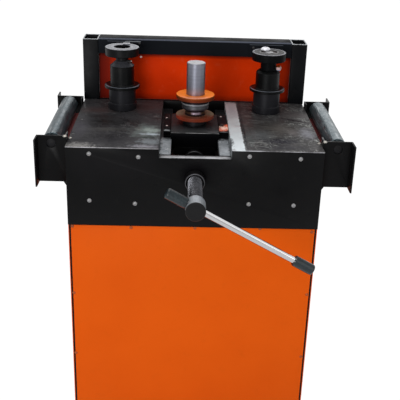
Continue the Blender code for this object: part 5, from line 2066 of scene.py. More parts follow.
# The gib strips: their front faces near-black, painted shade; the orange-pink and white flecks on the right
# strip are a paint smear.
WING_STEEL = WornSteel(
    "wing_steel",
    metallic=0.0,
    gloss=0.01,
    dark=tone(18, 17, 19),
    light=tone(30, 29, 31),
    speck=tone(110, 108, 105),
    scratched=0.35,
    fronts=tone(9, 9, 11),
    lip=tone(130, 130, 132),
    lip_level=-0.0062,
    spots=(
        Spot(-0.086, -0.066, 0.156, 0.168, tone(150, 154, 156), 0.8, soft=0.4, ragged=0.4),
        Spot(0.064, 0.090, 0.166, 0.196, tone(226, 110, 84), 0.95, soft=0.3, ragged=0.8, grain=160.0),
        Spot(0.078, 0.104, 0.186, 0.226, tone(240, 116, 84), 0.95, soft=0.3, ragged=0.7, grain=160.0),
        Spot(0.066, 0.094, 0.176, 0.206, tone(255, 214, 196), 0.9, soft=0.4, ragged=1.2, grain=210.0),
    ),
)


@dataclass
class Carriage(SubAssembly):
    """The sliding block, its side strips, keeper and thrust collar.

    Attributes:
        edge: Rounding of the block and the strips.
        keeper_edge: Rounding of the keeper.
        collar_edge: Rounding of the collar.
        collar_chamfer: The chamfer round the collar's front.
        collar_bore: The collar's bore, as a share of the lead screw's radius.
        screw: The screw of the strips.
        glint_head: A small near-white head in the middle of a screw, a painted glint.
        glinted: How many of the screws have one.
        glint_lift: How far that head stands on the strip.
        strip_screws: The screws' places across and behind the table's edge.
    """

    edge: float = 0.0006
    keeper_edge: float = 0.0008
    collar_edge: float = 0.0004
    collar_chamfer: float = 0.0015
    collar_bore: float = 0.75
    screw: Fastener = Fastener(ScrewHead.SOCKET, 0.0048, 0.0008, 0.0028)
    glint_head: Fastener = Fastener(ScrewHead.SOCKET, 0.0022, 0.0010, 0.0008)
    glinted: int = 3
    glint_lift: float = 0.0002
    strip_screws: tuple[tuple[float, float], ...] = (
        (-0.0777, 0.272),
        (-0.0760, 0.200),
        (0.0750, 0.294),
        (0.0750, 0.225),
    )

    def build(self) -> None:
        """Models and dresses the carriage."""
        finishes = {"carriage_block": CARRIAGE_STEEL}
        finishes.update({f"{word}_gib_strip": WING_STEEL for word in WORDS.values()})
        for node, finish in finishes.items():
            self.round_off(node, self.edge, Body.CARRIAGE, Slot.TABLE, finish, STEEL_EDGE)
        keeper = "keeper_block"
        self.round_off(keeper, self.keeper_edge, Body.CARRIAGE, Slot.DARK, KEEPER_STEEL, BLACK_EDGE)
        self.collar()
        top = levels("left_gib_strip")[1]
        seats = [DATUM.at(across, depth, top) for across, depth in self.strip_screws]
        places = numbered("strip_screw", seats, UP)
        self.screw.fit(self, places, Body.CARRIAGE, SCREW_BLACK)
        # A small near-white head set in the middle of some strip screws is a painted glint.
        glint_places = [(f"{name}_centre", seat + UP * self.glint_lift, up) for name, seat, up in places[: self.glinted]]
        self.glint_head.fit(self, glint_places, Body.CARRIAGE, GLINT_WHITE)

    def collar(self) -> None:
        """The collar that the screw's shoulder turns against."""
        low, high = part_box("thrust_collar")
        radius, half = (high.x - low.x) / 2, (high.y - low.y) / 2
        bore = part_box("lead_screw")[1].x * self.collar_bore
        profile = [
            (bore, -half),
            (radius - self.collar_chamfer, -half),
            (radius, self.collar_chamfer - half),
            (radius, half),
            (bore, half),
        ]
        centre = middle_of("thrust_collar")
        piece = lathe("thrust_collar_turned", profile, centre, Axis.Y, bore=True)
        round_edges(piece, self.collar_edge)
        finish = replace(COLLAR_STEEL, centre=centre)
        self.seat(piece, Body.CARRIAGE, Slot.DARK, finish, "thrust_collar")


SCREW_STEEL = TurnedSteel(
    "screw_steel",
    axis=Axis.Y,
    colour=tone(112, 113, 118),
    second=tone(36, 36, 39),
    stain=tone(20, 20, 23),
    stained=0.6,
    metallic=0.8,
    roughness=0.24,
    rings=260.0,
)
HUB_STEEL = TurnedSteel(
    "hub_steel",
    axis=Axis.Y,
    colour=tone(178, 184, 190),
    second=tone(132, 138, 144),
    stain=tone(90, 88, 86),
    stained=0.3,
    metallic=0.5,
    roughness=0.40,
    rings=520.0,
    bands=(Band(tone(24, 24, 25), depth=(-0.300, -0.2070), soft=0.00003),),
)
HUB_FACE = TurnedSteel(
    "hub_face",
    axis=Axis.Y,
    colour=tone(27, 27, 28),
    second=tone(22, 22, 23),
    stain=tone(34, 33, 33),
    metallic=0.1,
    roughness=0.5,
    rings=520.0,
    gloss=0.1,
)
# Near-white chrome with painted reflections across the bar: a light grey lower half, a thin dark line near
# the top and a darker lower edge.
BAR_CHROME = Chrome(
    "bar_chrome",
    colour=tone(250, 250, 252),
    second=tone(226, 226, 228),
    reflection_bands=(
        ((-0.0052, 0.0038), tone(184, 184, 186)),
        ((0.0036, 0.0047), tone(84, 80, 80)),
        ((-0.0090, -0.0052), tone(112, 98, 92)),
    ),
)
GRIP_SLATE = Plastic("grip_plastic_slate", colour=tone(19, 29, 34), second=tone(28, 40, 45), roughness=0.27)


@dataclass
class Handle(SubAssembly):
    """Lead screw with its thread, the hub, the sliding bar and both grips.

    Attributes:
        pitch: The thread's pitch.
        thread_depth: Its depth.
        thread_steps: Facets in a full turn of it.
        thread_gaps: How far it ends from the hub and from the thrust collar.
        spine_inset: How far the screw's plain core lies under the thread's root.
        spine_edge: Rounding of that core.
        socket_radius: The radius of the hub's socket for the screw.
        socket_depth: Its depth.
        front_chamfer: The chamfer round the hub's face.
        rear_chamfer: The chamfer round its back.
        hole_radius: The radius of the hub's hole for the bar.
        hub_edge: Rounding of the hub.
        bar_tilt: Degrees that the bar's outer end hangs down.
        bar_radius: The bar's radius.
        bar_overall: Its length with both grips.
        bar_inset: How far it ends inside a grip's closed end.
        bar_edge: Rounding of the bar.
        grip_radius: The grips' radius.
        grip_length: Their length.
        grip_gap: The gap between a grip and the bar or the hub.
        grip_crown: The radius of a grip's closed end.
        grip_steps: Facets across that rounding.
        grip_wall: The wall at that end.
        mouth: How far the lip at a grip's mouth is drawn in, and how long it is.
    """

    pitch: float = 0.006
    thread_depth: float = 0.0030
    thread_steps: int = 48
    thread_gaps: tuple[float, float] = (0.0003, 0.0005)
    spine_inset: float = 0.0010
    spine_edge: float = 0.0010
    socket_radius: float = 0.0143
    socket_depth: float = 0.0113
    front_chamfer: float = 0.0015
    rear_chamfer: float = 0.003
    hole_radius: float = 0.0083
    hub_edge: float = 0.0005
    bar_tilt: float = 28.8
    bar_radius: float = 0.008
    bar_overall: float = 0.405
    bar_inset: float = 0.0043
    bar_edge: float = 0.0006
    grip_radius: float = 0.0135
    grip_length: float = 0.054
    grip_gap: float = 0.0003
    grip_crown: float = 0.0045
    grip_steps: int = 5
    grip_wall: float = 0.004
    mouth: tuple[float, float] = (0.0012, 0.0015)

    def build(self) -> None:
        """Models and dresses the handle."""
        self.screw()
        self.hub()
        self.bar()

    def axis_point(self) -> Vector:
        """The point on the screw's axis at the table's front face."""
        middle = middle_of("lead_screw")
        return Vector((middle.x, DATUM.front, middle.z))

    def screw(self) -> None:
        """The screw, whose thread runs from the hub to the thrust collar."""
        centre = self.axis_point()
        crest = (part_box("lead_screw")[1].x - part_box("lead_screw")[0].x) / 2
        core = crest - self.thread_depth
        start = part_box("handle_hub")[1].y + self.thread_gaps[0]
        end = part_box("thrust_collar")[0].y - self.thread_gaps[1]
        turns = int((end - start) / self.pitch) + 3
        shares = ((core, 0.0), (core, 0.28), (crest, 0.42), (crest, 0.72), (core, 0.86), (core, 1.0))
        points = [Vector((radius, share * self.pitch, 0.0)) for radius, share in shares]
        origin = Vector((centre.x, start - self.pitch, centre.z))
        thread = draw_profile(points, origin)
        bpy.ops.object.mode_set(mode="OBJECT")
        apply_modifier(
            thread,
            "SCREW",
            axis="Y",
            angle=2 * pi,
            screw_offset=self.pitch,
            iterations=turns,
            steps=self.thread_steps,
            render_steps=self.thread_steps,
            use_merge_vertices=True,
            merge_threshold=MERGE / 10,
        )
        with edit_mode(thread):
            bpy.ops.mesh.remove_doubles(threshold=MERGE)
            for level, outward in ((start, FRONT), (end, BACK)):
                bpy.ops.mesh.select_all(action="SELECT")
                bpy.ops.mesh.bisect(
                    plane_co=(0.0, level, 0.0), plane_no=outward, use_fill=True, clear_outer=True
                )
            bpy.ops.mesh.select_all(action="SELECT")
            bpy.ops.mesh.normals_make_consistent(inside=False)
        settle(thread, "thread")
        low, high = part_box("lead_screw")
        plain = core - self.spine_inset
        front, rear = low.y - centre.y, high.y - centre.y
        profile = [(0.0, front), (plain, front), (plain, rear), (0.0, rear)]
        spine = lathe("spine", profile, centre, Axis.Y, steps=self.thread_steps)
        spine = round_edges(spine, self.spine_edge)
        piece = join("lead_screw_threaded", [thread, spine])
        finish = replace(SCREW_STEEL, centre=centre)
        self.seat(piece, Body.SCREW, Slot.DARK, finish, "lead_screw")

    def hub(self) -> None:
        """The boss, with a turned face and a chamfered rim, bored across for the bar."""
        low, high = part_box("handle_hub")
        centre = self.axis_point()
        radius = (high.x - low.x) / 2
        front, rear = low.y - centre.y, high.y - centre.y
        floor = rear - self.socket_depth
        profile = [
            (0.0, floor),
            (self.socket_radius, floor),
            (self.socket_radius, rear),
            (radius - self.rear_chamfer, rear),
            (radius, rear - self.rear_chamfer),
            (radius, front + self.front_chamfer),
            (radius - self.front_chamfer, front),
            (0.0, front),
        ]
        piece = lathe("handle_hub_turned", profile, centre, Axis.Y)
        deselect_all()
        bpy.ops.mesh.primitive_cylinder_add(
            vertices=48,
            radius=self.hole_radius,
            depth=3 * radius,
            location=Vector((centre.x, (low.y + high.y) / 2, centre.z)),
            rotation=(0.0, pi / 2 + radians(self.bar_tilt), 0.0),
        )
        cut(piece, settle(bpy.context.object, "bar_hole"))
        round_edges(piece, self.hub_edge)
        sides, face = (replace(finish, centre=centre) for finish in (HUB_STEEL, HUB_FACE))
        self.seat(piece, Body.SCREW, Slot.DARK, sides, "handle_hub", edge=face)
        for polygon in piece.data.polygons:
            if polygon.normal.y < -0.9 and polygon.center.y < low.y + 2 * self.hub_edge:
                polygon.material_index = 1

    def turned_on_bar(self, name: str, profile: Profile, steps: int = 64) -> Piece:
        """Turns a profile about the bar's own axis.

        Args:
            name: The piece's name.
            profile: Radius and distance pairs, the distance towards the outer grip.
            steps: Facets in a full turn.

        Returns:
            The piece in place.
        """
        middle = Vector((0.0, middle_of("handle_hub").y, self.axis_point().z))
        turn = Matrix.Rotation(pi / 2 + radians(self.bar_tilt), 4, "Y")
        piece = lathe(name, profile, Vector(), Axis.Z, steps=steps)
        piece.data.transform(Matrix.Translation(middle) @ turn)
        return piece

    def bar(self) -> None:
        """The chromed bar with a closed grip on each end."""
        hub = (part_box("handle_hub")[1].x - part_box("handle_hub")[0].x) / 2
        inner_mouth = -hub - self.grip_gap
        inner_far = inner_mouth - self.grip_length
        outer_far = self.bar_overall + inner_far
        radius, start, end = self.bar_radius, inner_far + self.bar_inset, outer_far - self.bar_inset
        profile = [(0.0, end), (radius, end), (radius, start), (0.0, start)]
        piece = round_edges(self.turned_on_bar("tommy_bar_chromed", profile), self.bar_edge)
        finish = replace(BAR_CHROME, turn=self.bar_tilt, centre=self.axis_point())
        self.seat(piece, Body.BAR, Slot.CHROME, finish, "tommy_bar")
        self.grip("outer_grip", outer_far, outer_far - self.grip_length)
        self.grip("inner_grip", inner_far, inner_mouth)

    def grip(self, node: str, far: float, mouth: float) -> None:
        """A plastic grip with a rounded closed end and a lip at its mouth.

        Args:
            node: The node it replaces.
            far: Its closed end along the bar.
            mouth: Its open end along the bar.
        """
        outward = 1.0 if far > mouth else -1.0
        radius, crown = self.grip_radius, outward * self.grip_crown
        turns = [pi / 2 * step / self.grip_steps for step in range(self.grip_steps + 1)]
        flat = radius - self.grip_crown
        dome = [(flat + self.grip_crown * sin(turn), far - crown * (1 - cos(turn))) for turn in turns]
        bore = self.bar_radius + self.grip_gap
        drawn_in, length = self.mouth
        profile = [
            (0.0, far),
            *dome,
            (radius, mouth + outward * length),
            (radius - drawn_in, mouth),
            (bore, mouth),
            (bore, far - outward * self.grip_wall),
            (0.0, far - outward * self.grip_wall),
        ]
        piece = self.turned_on_bar(node + "_moulded", profile)
        tidy_mesh(piece)
        settle(piece, node + "_moulded")
        self.seat(piece, Body.BAR, Slot.GRIP, GRIP_SLATE, node)


SPINDLE_CENTRE = Vector((0.0, middle_of("centre_shaft").y, DATUM.top))
# The upper flange: a bright orange top over a dark red-brown rim darkened as painted shade, and a
# pinkish-white front to the top that is a painted highlight.
UPPER_ORANGE = WornPaintDisc(
    "upper_flange_paint",
    centre=SPINDLE_CENTRE,
    colour=tone(255, 134, 12),
    rim_colour=tone(108, 44, 20),
    front_colour=tone(255, 172, 136),
    front=0.026,
    bareness=0.12,
    metallic=0.4,
    bands=(Band(tone(158, 82, 14), radius=(0.0505, 0.060), level=(0.0755, 0.0782), strength=0.6),),
)
# The lower flange: an olive top over a brown-red rim darkened as painted shade, orange-brown towards the
# front.
LOWER_ORANGE = WornPaintDisc(
    "lower_flange_paint",
    centre=SPINDLE_CENTRE,
    colour=tone(124, 112, 92),
    rim_colour=tone(108, 44, 26),
    front_colour=tone(118, 58, 38),
    front=0.004,
    bareness=0.15,
    bare=tone(110, 100, 92),
    bands=(
        Band(
            tone(146, 118, 92),
            radius=(0.0316, 0.0338),
            level=(0.021, 0.024),
            depth=(0.0, 0.212),
            soft=0.0003,
        ),
        Band(
            tone(150, 54, 38),
            level=(0.010, 0.0222),
            across=(-0.060, -0.036),
            strength=0.7,
            soft=0.0003,
        ),
    ),
)
# The centre shaft: a pinkish band just above the upper flange is a painted reflection of the orange flange,
# and near-black on the collar under the lower flange is painted shadow.
SHAFT_SATIN = TurnedSteel(
    "shaft_satin",
    centre=SPINDLE_CENTRE,
    colour=tone(122, 124, 134),
    second=tone(100, 101, 112),
    stain=tone(96, 84, 86),
    stained=0.35,
    roughness=0.36,
    rings=260.0,
    ring_depth=0.0001,
    top_colour=tone(140, 140, 142),
    bands=(
        Band(tone(140, 118, 122), radius=(0.0, 0.030), level=(0.079, 0.096), soft=0.008, strength=0.7),
        Band(tone(30, 29, 31), radius=(0.0, 0.040), level=(-0.020, 0.013), strength=0.97),
    ),
)
WAIST = (0.030, 0.040)
NECK = (0.020, 0.030)
# The centre hub: a dark band under the upper flange is painted shadow, and the light ring below it, brighter
# at its left and right ends, a painted highlight; a darker band lies at the waist's foot. The neck is dim
# brown, with painted shadow under the hub, a painted highlight across its front and painted shadow at its
# foot.
CENTRE_HUB = TurnedSteel(
    "centre_hub_steel",
    centre=SPINDLE_CENTRE,
    colour=tone(92, 93, 97),
    second=tone(66, 66, 70),
    stain=tone(40, 37, 38),
    stained=0.4,
    roughness=0.36,
    rings=300.0,
    bands=(
        Band(tone(30, 22, 26), radius=WAIST, level=(0.0585, 0.0680)),
        Band(tone(120, 120, 126), radius=WAIST, level=(0.0535, 0.0572)),
        Band(tone(176, 176, 178), radius=WAIST, level=(0.0540, 0.0572), across=(-0.040, -0.018), ragged=0.3),
        Band(tone(168, 168, 170), radius=WAIST, level=(0.0540, 0.0572), across=(0.022, 0.040), ragged=0.3),
        Band(tone(60, 52, 58), radius=WAIST, level=(0.0370, 0.0440), soft=0.002),
        Band(tone(84, 62, 48), radius=NECK, level=(0.020, 0.0400)),
        Band(tone(30, 20, 24), radius=NECK, level=(0.0332, 0.0400)),
        Band(tone(150, 134, 148), radius=NECK, level=(0.0272, 0.0330), across=(-0.0095, 0.0140), soft=0.0002),
        Band(tone(34, 22, 26), radius=NECK, level=(0.020, 0.0268)),
    ),
)


@dataclass
class CentreSpindle(SubAssembly):
    """The shaft on the carriage, with its hub between two flanges.

    Attributes:
        shaft_radius: The shaft's radius.
        collar_radius: The radius of its collar on the carriage.
        foot_radius: The radius of its foot under the keeper.
        running: Its clearance to the carriage and the keeper.
        seat_gap: The gap between pieces that touch.
        edge: Rounding of the flanges' rims.
        thickened: How much higher the lower flange reaches than its node.
        hub_rim: The radius of the hub's raised rim.
        hub_waist: The radius of its worn waist.
        hub_neck: The radius of its neck.
        rim_foot: The level of the rim's foot.
        waist_foot: The level of the waist's foot.
        hub_step: The chamfer at each step of the hub.
    """

    shaft_radius: float = 0.025
    collar_radius: float = 0.033
    foot_radius: float = 0.030
    running: float = 0.0005
    seat_gap: float = 0.0003
    edge: float = 0.0006
    thickened: float = 0.0015
    hub_rim: float = 0.038
    hub_waist: float = 0.0365
    hub_neck: float = 0.0270
    rim_foot: float = 0.0535
    waist_foot: float = 0.0392
    hub_step: float = 0.0015

    def build(self) -> None:
        """Models and dresses the centre spindle."""
        self.shaft()
        self.flange("centre_upper_flange", UPPER_ORANGE)
        self.flange("centre_lower_flange", LOWER_ORANGE, self.thickened)
        self.hub()

    def shaft(self) -> None:
        """The shaft, with its collar on the carriage and its foot under the keeper."""
        bottom, top = levels("centre_shaft")
        carriage = levels("carriage_block")[1] + self.running
        flange = levels("centre_lower_flange")[0] - self.seat_gap
        foot_top = levels("keeper_block")[0] - self.running
        chamfer = 3 * self.edge
        profile = [
            (0.0, top),
            (self.shaft_radius - chamfer, top),
            (self.shaft_radius, top - chamfer),
            (self.shaft_radius, flange),
            (self.collar_radius, flange),
            (self.collar_radius, carriage),
            (self.shaft_radius, carriage),
            (self.shaft_radius, foot_top),
            (self.foot_radius, foot_top),
            (self.foot_radius, bottom),
            (0.0, bottom),
        ]
        piece = round_edges(lathe("centre_shaft_turned", profile, SPINDLE_CENTRE, Axis.Z), self.edge / 2)
        self.seat(piece, Body.CENTRE, Slot.BRIGHT, SHAFT_SATIN, "centre_shaft")

    def flange(self, node: str, finish: Finish, thickened: float = 0.0) -> None:
        """A flange with broken rims and a bore for the shaft.

        Args:
            node: The node it replaces.
            finish: Its finish.
            thickened: How much higher it reaches than the node.
        """
        bottom, top = levels(node)
        top += thickened
        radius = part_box(node)[1].x
        bore = self.shaft_radius + self.seat_gap
        profile = [
            (bore, top),
            (radius - self.edge, top),
            (radius, top - self.edge),
            (radius, bottom + 2 * self.edge),
            (radius - 2 * self.edge, bottom),
            (bore, bottom),
        ]
        piece = lathe(node + "_turned", profile, SPINDLE_CENTRE, Axis.Z, bore=True)
        round_edges(piece, self.edge / 2)
        self.seat(piece, Body.CENTRE, Slot.WORN_ORANGE, finish, node)

    def hub(self) -> None:
        """The hub, with a raised rim and a worn waist, on a narrow neck."""
        bottom, top = levels("centre_roller_hub")
        bottom += self.thickened
        bore = self.shaft_radius + self.seat_gap
        waist, neck, step = self.hub_waist, self.hub_neck, self.hub_step
        profile = [
            (bore, top),
            (self.hub_rim, top),
            (self.hub_rim, self.rim_foot),
            (waist, self.rim_foot - step),
            (waist, self.waist_foot + step),
            (waist - step, self.waist_foot),
            (neck, self.waist_foot),
            (neck, bottom + step),
            (neck + step, bottom),
            (bore, bottom),
        ]
        piece = lathe("centre_hub_turned", profile, SPINDLE_CENTRE, Axis.Z, bore=True)
        round_edges(piece, self.edge / 2)
        self.seat(piece, Body.CENTRE, Slot.BRIGHT, CENTRE_HUB, "centre_roller_hub")


NUT_NECKS = {LEFT: 0.018, RIGHT: 0.0224}
NUT_FLOORS = {LEFT: 0.016, RIGHT: 0.002}
NUT_CONE = 0.014


@dataclass(frozen=True)
class NeckScrew:
    """A screw that stands out of a clamp nut's neck.

    Attributes:
        name: The last part of its name.
        reach: A point on its axis, from the spindle's place at the table's top.
        start: Where its seat is, from the neck's surface.
        radius: Its radius.
        length: How far it stands out.
        finish: Its finish.
    """

    name: str
    reach: Vector
    start: float
    radius: float
    length: float
    finish: Finish


# On the left set screw a tiny near-white head is a painted glint; the right set screw's head is painted with
# a highlight and reflections.
NECK_SCREWS = {
    LEFT: (
        NeckScrew("set_screw", Vector((0.0262, -0.0150, 0.1385)), 0.0, 0.0048, 0.014, SCREW_BLACK),
        NeckScrew("set_screw_glint", Vector((0.0262, -0.0150, 0.1405)), 0.0125, 0.0016, 0.0020, GLINT_WHITE),
    ),
    RIGHT: (
        NeckScrew("set_screw_shank", Vector((0.0275, -0.0150, 0.1312)), 0.0, 0.0040, 0.0080, SCREW_BLACK),
        NeckScrew("set_screw", Vector((0.0275, -0.0150, 0.1312)), 0.0065, 0.0076, 0.0090, SET_SCREW_GLINTS),
    ),
}
BLACKENED = {
    "stain": tone(44, 42, 40),
    "stained": 0.25,
    "metallic": 0.4,
    "roughness": 0.34,
    "rings": 330.0,
    "gloss": 0.12,
}


@dataclass
class RearSpindle(SubAssembly):
    """A driven spindle: shaft, roller, flanged sleeve, clamp nut and gear.

    Attributes:
        side: LEFT or RIGHT.
        shaft_end: The shaft's radius inside the nut.
        shaft_radius: Its radius below the nut.
        foot_radius: The radius of its foot under the gear.
        running: The clearance between pieces that touch.
        hub_radius: The roller's radius.
        base_radius: The radius of the flange at the roller's foot.
        base_top: That flange's top.
        sleeve_radius: The sleeve's radius.
        flange_radius: The radius of the sleeve's flange.
        flange_thick: The thickness of the sleeve's flange.
        disc: The nut's radius.
        disc_thick: The thickness of the nut's disc.
        recess: The radius of the recess in its top.
        edge: Rounding of the edges.
    """

    side: int = LEFT
    shaft_end: float = 0.013
    shaft_radius: float = 0.020
    foot_radius: float = 0.026
    running: float = 0.0003
    hub_radius: float = 0.038
    base_radius: float = 0.041
    base_top: float = 0.020
    sleeve_radius: float = 0.034
    flange_radius: float = 0.050
    flange_thick: float = 0.008
    disc: float = 0.0475
    disc_thick: float = 0.023
    recess: float = 0.023
    edge: float = 0.0005

    def word(self) -> str:
        """The side's name."""
        return WORDS[self.side]

    def body(self) -> Body:
        """The body it turns with."""
        return Body.LEFT_SPINDLE if self.side == LEFT else Body.RIGHT_SPINDLE

    def centre(self) -> Vector:
        """The spindle's place at the table's top."""
        middle = middle_of(f"{self.word()}_spindle_shaft")
        return Vector((middle.x, middle.y, DATUM.top))

    def steel(self, part: str, colour: Colour, second: Colour, **settings: object) -> Finish:
        """The spindle's own turned steel, with rings about its axis.

        Args:
            part: The part's word in the finish's name.
            colour: Its colour.
            second: The colour of its rings.
            **settings: Further values of the finish.

        Returns:
            The finish.
        """
        name = f"{self.word()}_{part}_steel"
        return TurnedSteel(name, centre=self.centre(), colour=colour, second=second, **settings)

    def dark(self, part: str, colour: Colour, second: Colour, **settings: object) -> Finish:
        """The same in blackened steel."""
        return self.steel(part, colour, second, **{**BLACKENED, **settings})

    def turned(self, part: str, profile: Profile, rounding: float, bore: bool = True) -> Piece:
        """Turns a piece about the spindle and rounds its edges.

        Args:
            part: The part's word in the piece's name.
            profile: Its radius and level pairs.
            rounding: How far the rounding reaches.
            bore: Whether the outline closes on itself, round a bore.

        Returns:
            The piece.
        """
        piece = lathe(f"{self.word()}_{part}_turned", profile, self.centre(), Axis.Z, bore=bore)
        return round_edges(piece, rounding)

    def build(self) -> None:
        """Models and dresses the spindle."""
        self.shaft()
        self.roller()
        self.sleeve()
        self.nut()
        node = f"{self.word()}_spindle_gear"
        gear = worn_copy(node, self.edge, 1, worn=False)
        self.seat(gear, self.body(), Slot.DARK, self.steel("gear", tone(96, 96, 98), tone(60, 60, 62)), node)

    def shaft(self) -> None:
        """The shaft, thinner above the sleeve, with a foot under the gear."""
        word = self.word()
        bottom, top = levels(f"{word}_spindle_shaft")
        shoulder = levels(f"{word}_flanged_sleeve")[1] - self.running
        foot_top = levels(f"{word}_spindle_gear")[0] - self.running
        chamfer = 3 * self.edge
        profile = [
            (0.0, top),
            (self.shaft_end - chamfer, top),
            (self.shaft_end, top - chamfer),
            (self.shaft_end, shoulder),
            (self.shaft_radius, shoulder),
            (self.shaft_radius, foot_top),
            (self.foot_radius, foot_top),
            (self.foot_radius, bottom),
            (0.0, bottom),
        ]
        piece = self.turned("shaft", profile, self.edge / 2, bore=False)
        finish = self.steel("shaft", tone(110, 110, 112), tone(70, 70, 74))
        self.seat(piece, self.body(), Slot.BRIGHT, finish, f"{word}_spindle_shaft")

    def roller(self) -> None:
        """The roller's hub with the small flange at its foot."""
        word = self.word()
        bottom, top = levels(f"{word}_spindle_roller")
        bore = self.shaft_radius + self.running
        profile = [
            (bore, top),
            (self.hub_radius, top),
            (self.hub_radius, self.base_top),
            (self.base_radius, self.base_top),
            (self.base_radius, bottom),
            (bore, bottom),
        ]
        piece = self.turned("roller", profile, 2 * self.edge)
        finish = self.dark("roller", tone(40, 40, 44), tone(28, 28, 31))
        self.seat(piece, self.body(), Slot.DARK, finish, f"{word}_spindle_roller")

    def sleeve(self) -> None:
        """The flanged sleeve, plain on the left and tapered at its top on the right."""
        word = self.word()
        bottom, top = levels(f"{word}_flanged_sleeve")
        bore = self.shaft_radius + self.running
        taper = self.edge if self.side == LEFT else 0.006
        body, flange, ledge = self.sleeve_radius, self.flange_radius, bottom + self.flange_thick
        chamfer = 2 * self.edge
        profile = [
            (bore, top),
            (body - taper, top),
            (body, top - taper),
            (body, ledge + 2 * chamfer),
            (body + 2 * chamfer, ledge),
            (flange - chamfer, ledge),
            (flange, ledge - chamfer),
            (flange, bottom + chamfer),
            (flange - chamfer, bottom),
            (bore, bottom),
        ]
        piece = lathe(f"{word}_sleeve_turned", profile, self.centre(), Axis.Z, bore=True)
        round_edges(piece, self.edge, worn=True)
        rubbed = Band(
            tone(150, 156, 168),
            radius=(flange - 0.0050, flange - 0.0012),
            level=(ledge - 0.001, ledge + 0.002),
            depth=(0.200, self.centre().y - DATUM.front - 0.006),
            ragged=0.2,
        )
        finish = self.dark("sleeve", tone(15, 16, 17), tone(10, 11, 12), bands=(rubbed,))
        self.seat(piece, self.body(), Slot.DARK, finish, f"{word}_flanged_sleeve", edge=SLEEVE_EDGE)

    def nut(self) -> None:
        """The round nut on its neck: coned and hollow on the left, flat with two holes on the right."""
        word = self.word()
        left = self.side == LEFT
        bottom, top = levels(f"{word}_clamp_nut")
        disc_bottom = top - self.disc_thick
        neck = NUT_NECKS[self.side]
        foot = [(self.sleeve_radius, bottom), (neck, bottom + NUT_CONE)] if left else [(neck, bottom)]
        floor = top - NUT_FLOORS[self.side]
        bore = self.shaft_end + self.running
        chamfer = 2 * self.edge
        profile = [
            (bore, bottom),
            *foot,
            (neck, disc_bottom),
            (self.disc - chamfer, disc_bottom),
            (self.disc, disc_bottom + chamfer),
            (self.disc, top - chamfer),
            (self.disc - chamfer, top),
            (self.recess, top),
            (self.recess, floor),
            (bore, floor),
        ]
        piece = lathe(f"{word}_nut_turned", profile, self.centre(), Axis.Z, bore=True)
        if not left:
            self.spanner_holes(piece, floor)
        round_edges(piece, self.edge, worn=True)
        face, inside = (top - 0.001, top + 0.001), (floor - 0.004, top - 0.001)
        rim = Band(tone(140, 140, 146), radius=(0.0425, 0.0472), level=face, ragged=0.45)
        ring = Band(tone(94, 92, 94), radius=(0.0230, 0.0275), level=face, ragged=0.45)
        inner = Band(tone(76, 70, 70), radius=(0.0, self.recess), level=inside, soft=0.0004)
        cloud = Band(
            tone(80, 83, 90), radius=(0.0235, 0.0445), level=face, strength=0.6, ragged=0.8, grain=40.0
        )
        finish = self.dark(
            "nut",
            tone(15, 16, 18),
            tone(10, 11, 12),
            top_colour=tone(122, 124, 132) if left else tone(40, 40, 43),
            rings=340.0 if left else 420.0,
            metallic=0.4 if left else 0.1,
            gloss=0.12 if left else 0.02,
            bands=(cloud,) if left else (rim, ring, inner),
        )
        self.seat(piece, self.body(), Slot.DARK, finish, f"{word}_clamp_nut", edge=NUT_EDGE)
        if left:
            self.lug(top)
        else:
            self.stud(top)
        for screw in NECK_SCREWS[self.side]:
            self.screw(screw, neck)

    def spanner_holes(self, piece: Piece, floor: float) -> None:
        """Bores two holes for a pin spanner beside the shaft's end.

        Args:
            piece: The nut.
            floor: The level they go down from.
        """
        for across in (-0.0190, 0.0190):
            place = self.centre() + Vector((across, 0.010, floor))
            cut(piece, rod("spanner_hole", 0.0034, 0.020, place, Axis.Z))

    def lug(self, top: float) -> None:
        """The raised lug on the left nut's far rim.

        Args:
            top: The nut's top.
        """
        size = Vector((0.0200, 0.0175, 0.0024))
        middle = self.centre() + Vector((0.0105, 0.0335, top + self.running + size.z / 2))
        piece = box(f"{self.word()}_nut_lug", middle - size / 2, middle + size / 2)
        round_edges(piece, self.edge, worn=True)
        finish = self.dark("lug", tone(140, 142, 148), tone(112, 114, 120))
        self.seat(piece, self.body(), Slot.DARK, finish, edge=NUT_EDGE)

    def stud(self, top: float) -> None:
        """The bright round head on the right nut, behind the shaft.

        Args:
            top: The nut's top.
        """
        place = self.centre() + Vector((-0.0080, 0.0280, top + self.running))
        head = Fastener(ScrewHead.DOME, 0.0138, 0.0078, 0.0046)
        head.fit(self, [(f"{self.word()}_nut_stud", place, UP)], self.body(), STUD_STEEL)

    def screw(self, screw: NeckScrew, neck: float) -> None:
        """A screw that stands out from the nut's neck.

        Args:
            screw: The screw.
            neck: The neck's radius.
        """
        outward = Vector((screw.reach.x, screw.reach.y, 0.0)).normalized()
        seat = self.centre() + outward * (neck + screw.start - 2 * self.edge) + UP * screw.reach.z
        head = Fastener(ScrewHead.SOCKET, screw.radius, screw.length, screw.radius / 2)
        head.fit(self, [(f"{self.word()}_{screw.name}", seat, outward)], self.body(), screw.finish)


# Near-black axles: painted shade for the dark recess round each axle end.
AXLE_STEEL = TurnedSteel(
    "axle_steel",
    axis=Axis.Y,
    colour=tone(26, 26, 28),
    second=tone(16, 16, 18),
    metallic=0.2,
    roughness=0.45,
    gloss=0.1,
)
ZINC = Galvanised("roller_zinc")
# A darker copy of the roller zinc for the left roller: painted shade.
SHADED_ZINC = Galvanised("roller_zinc_shaded", first=(0.02, 0.035, 0.045), second=(0.10, 0.13, 0.145))


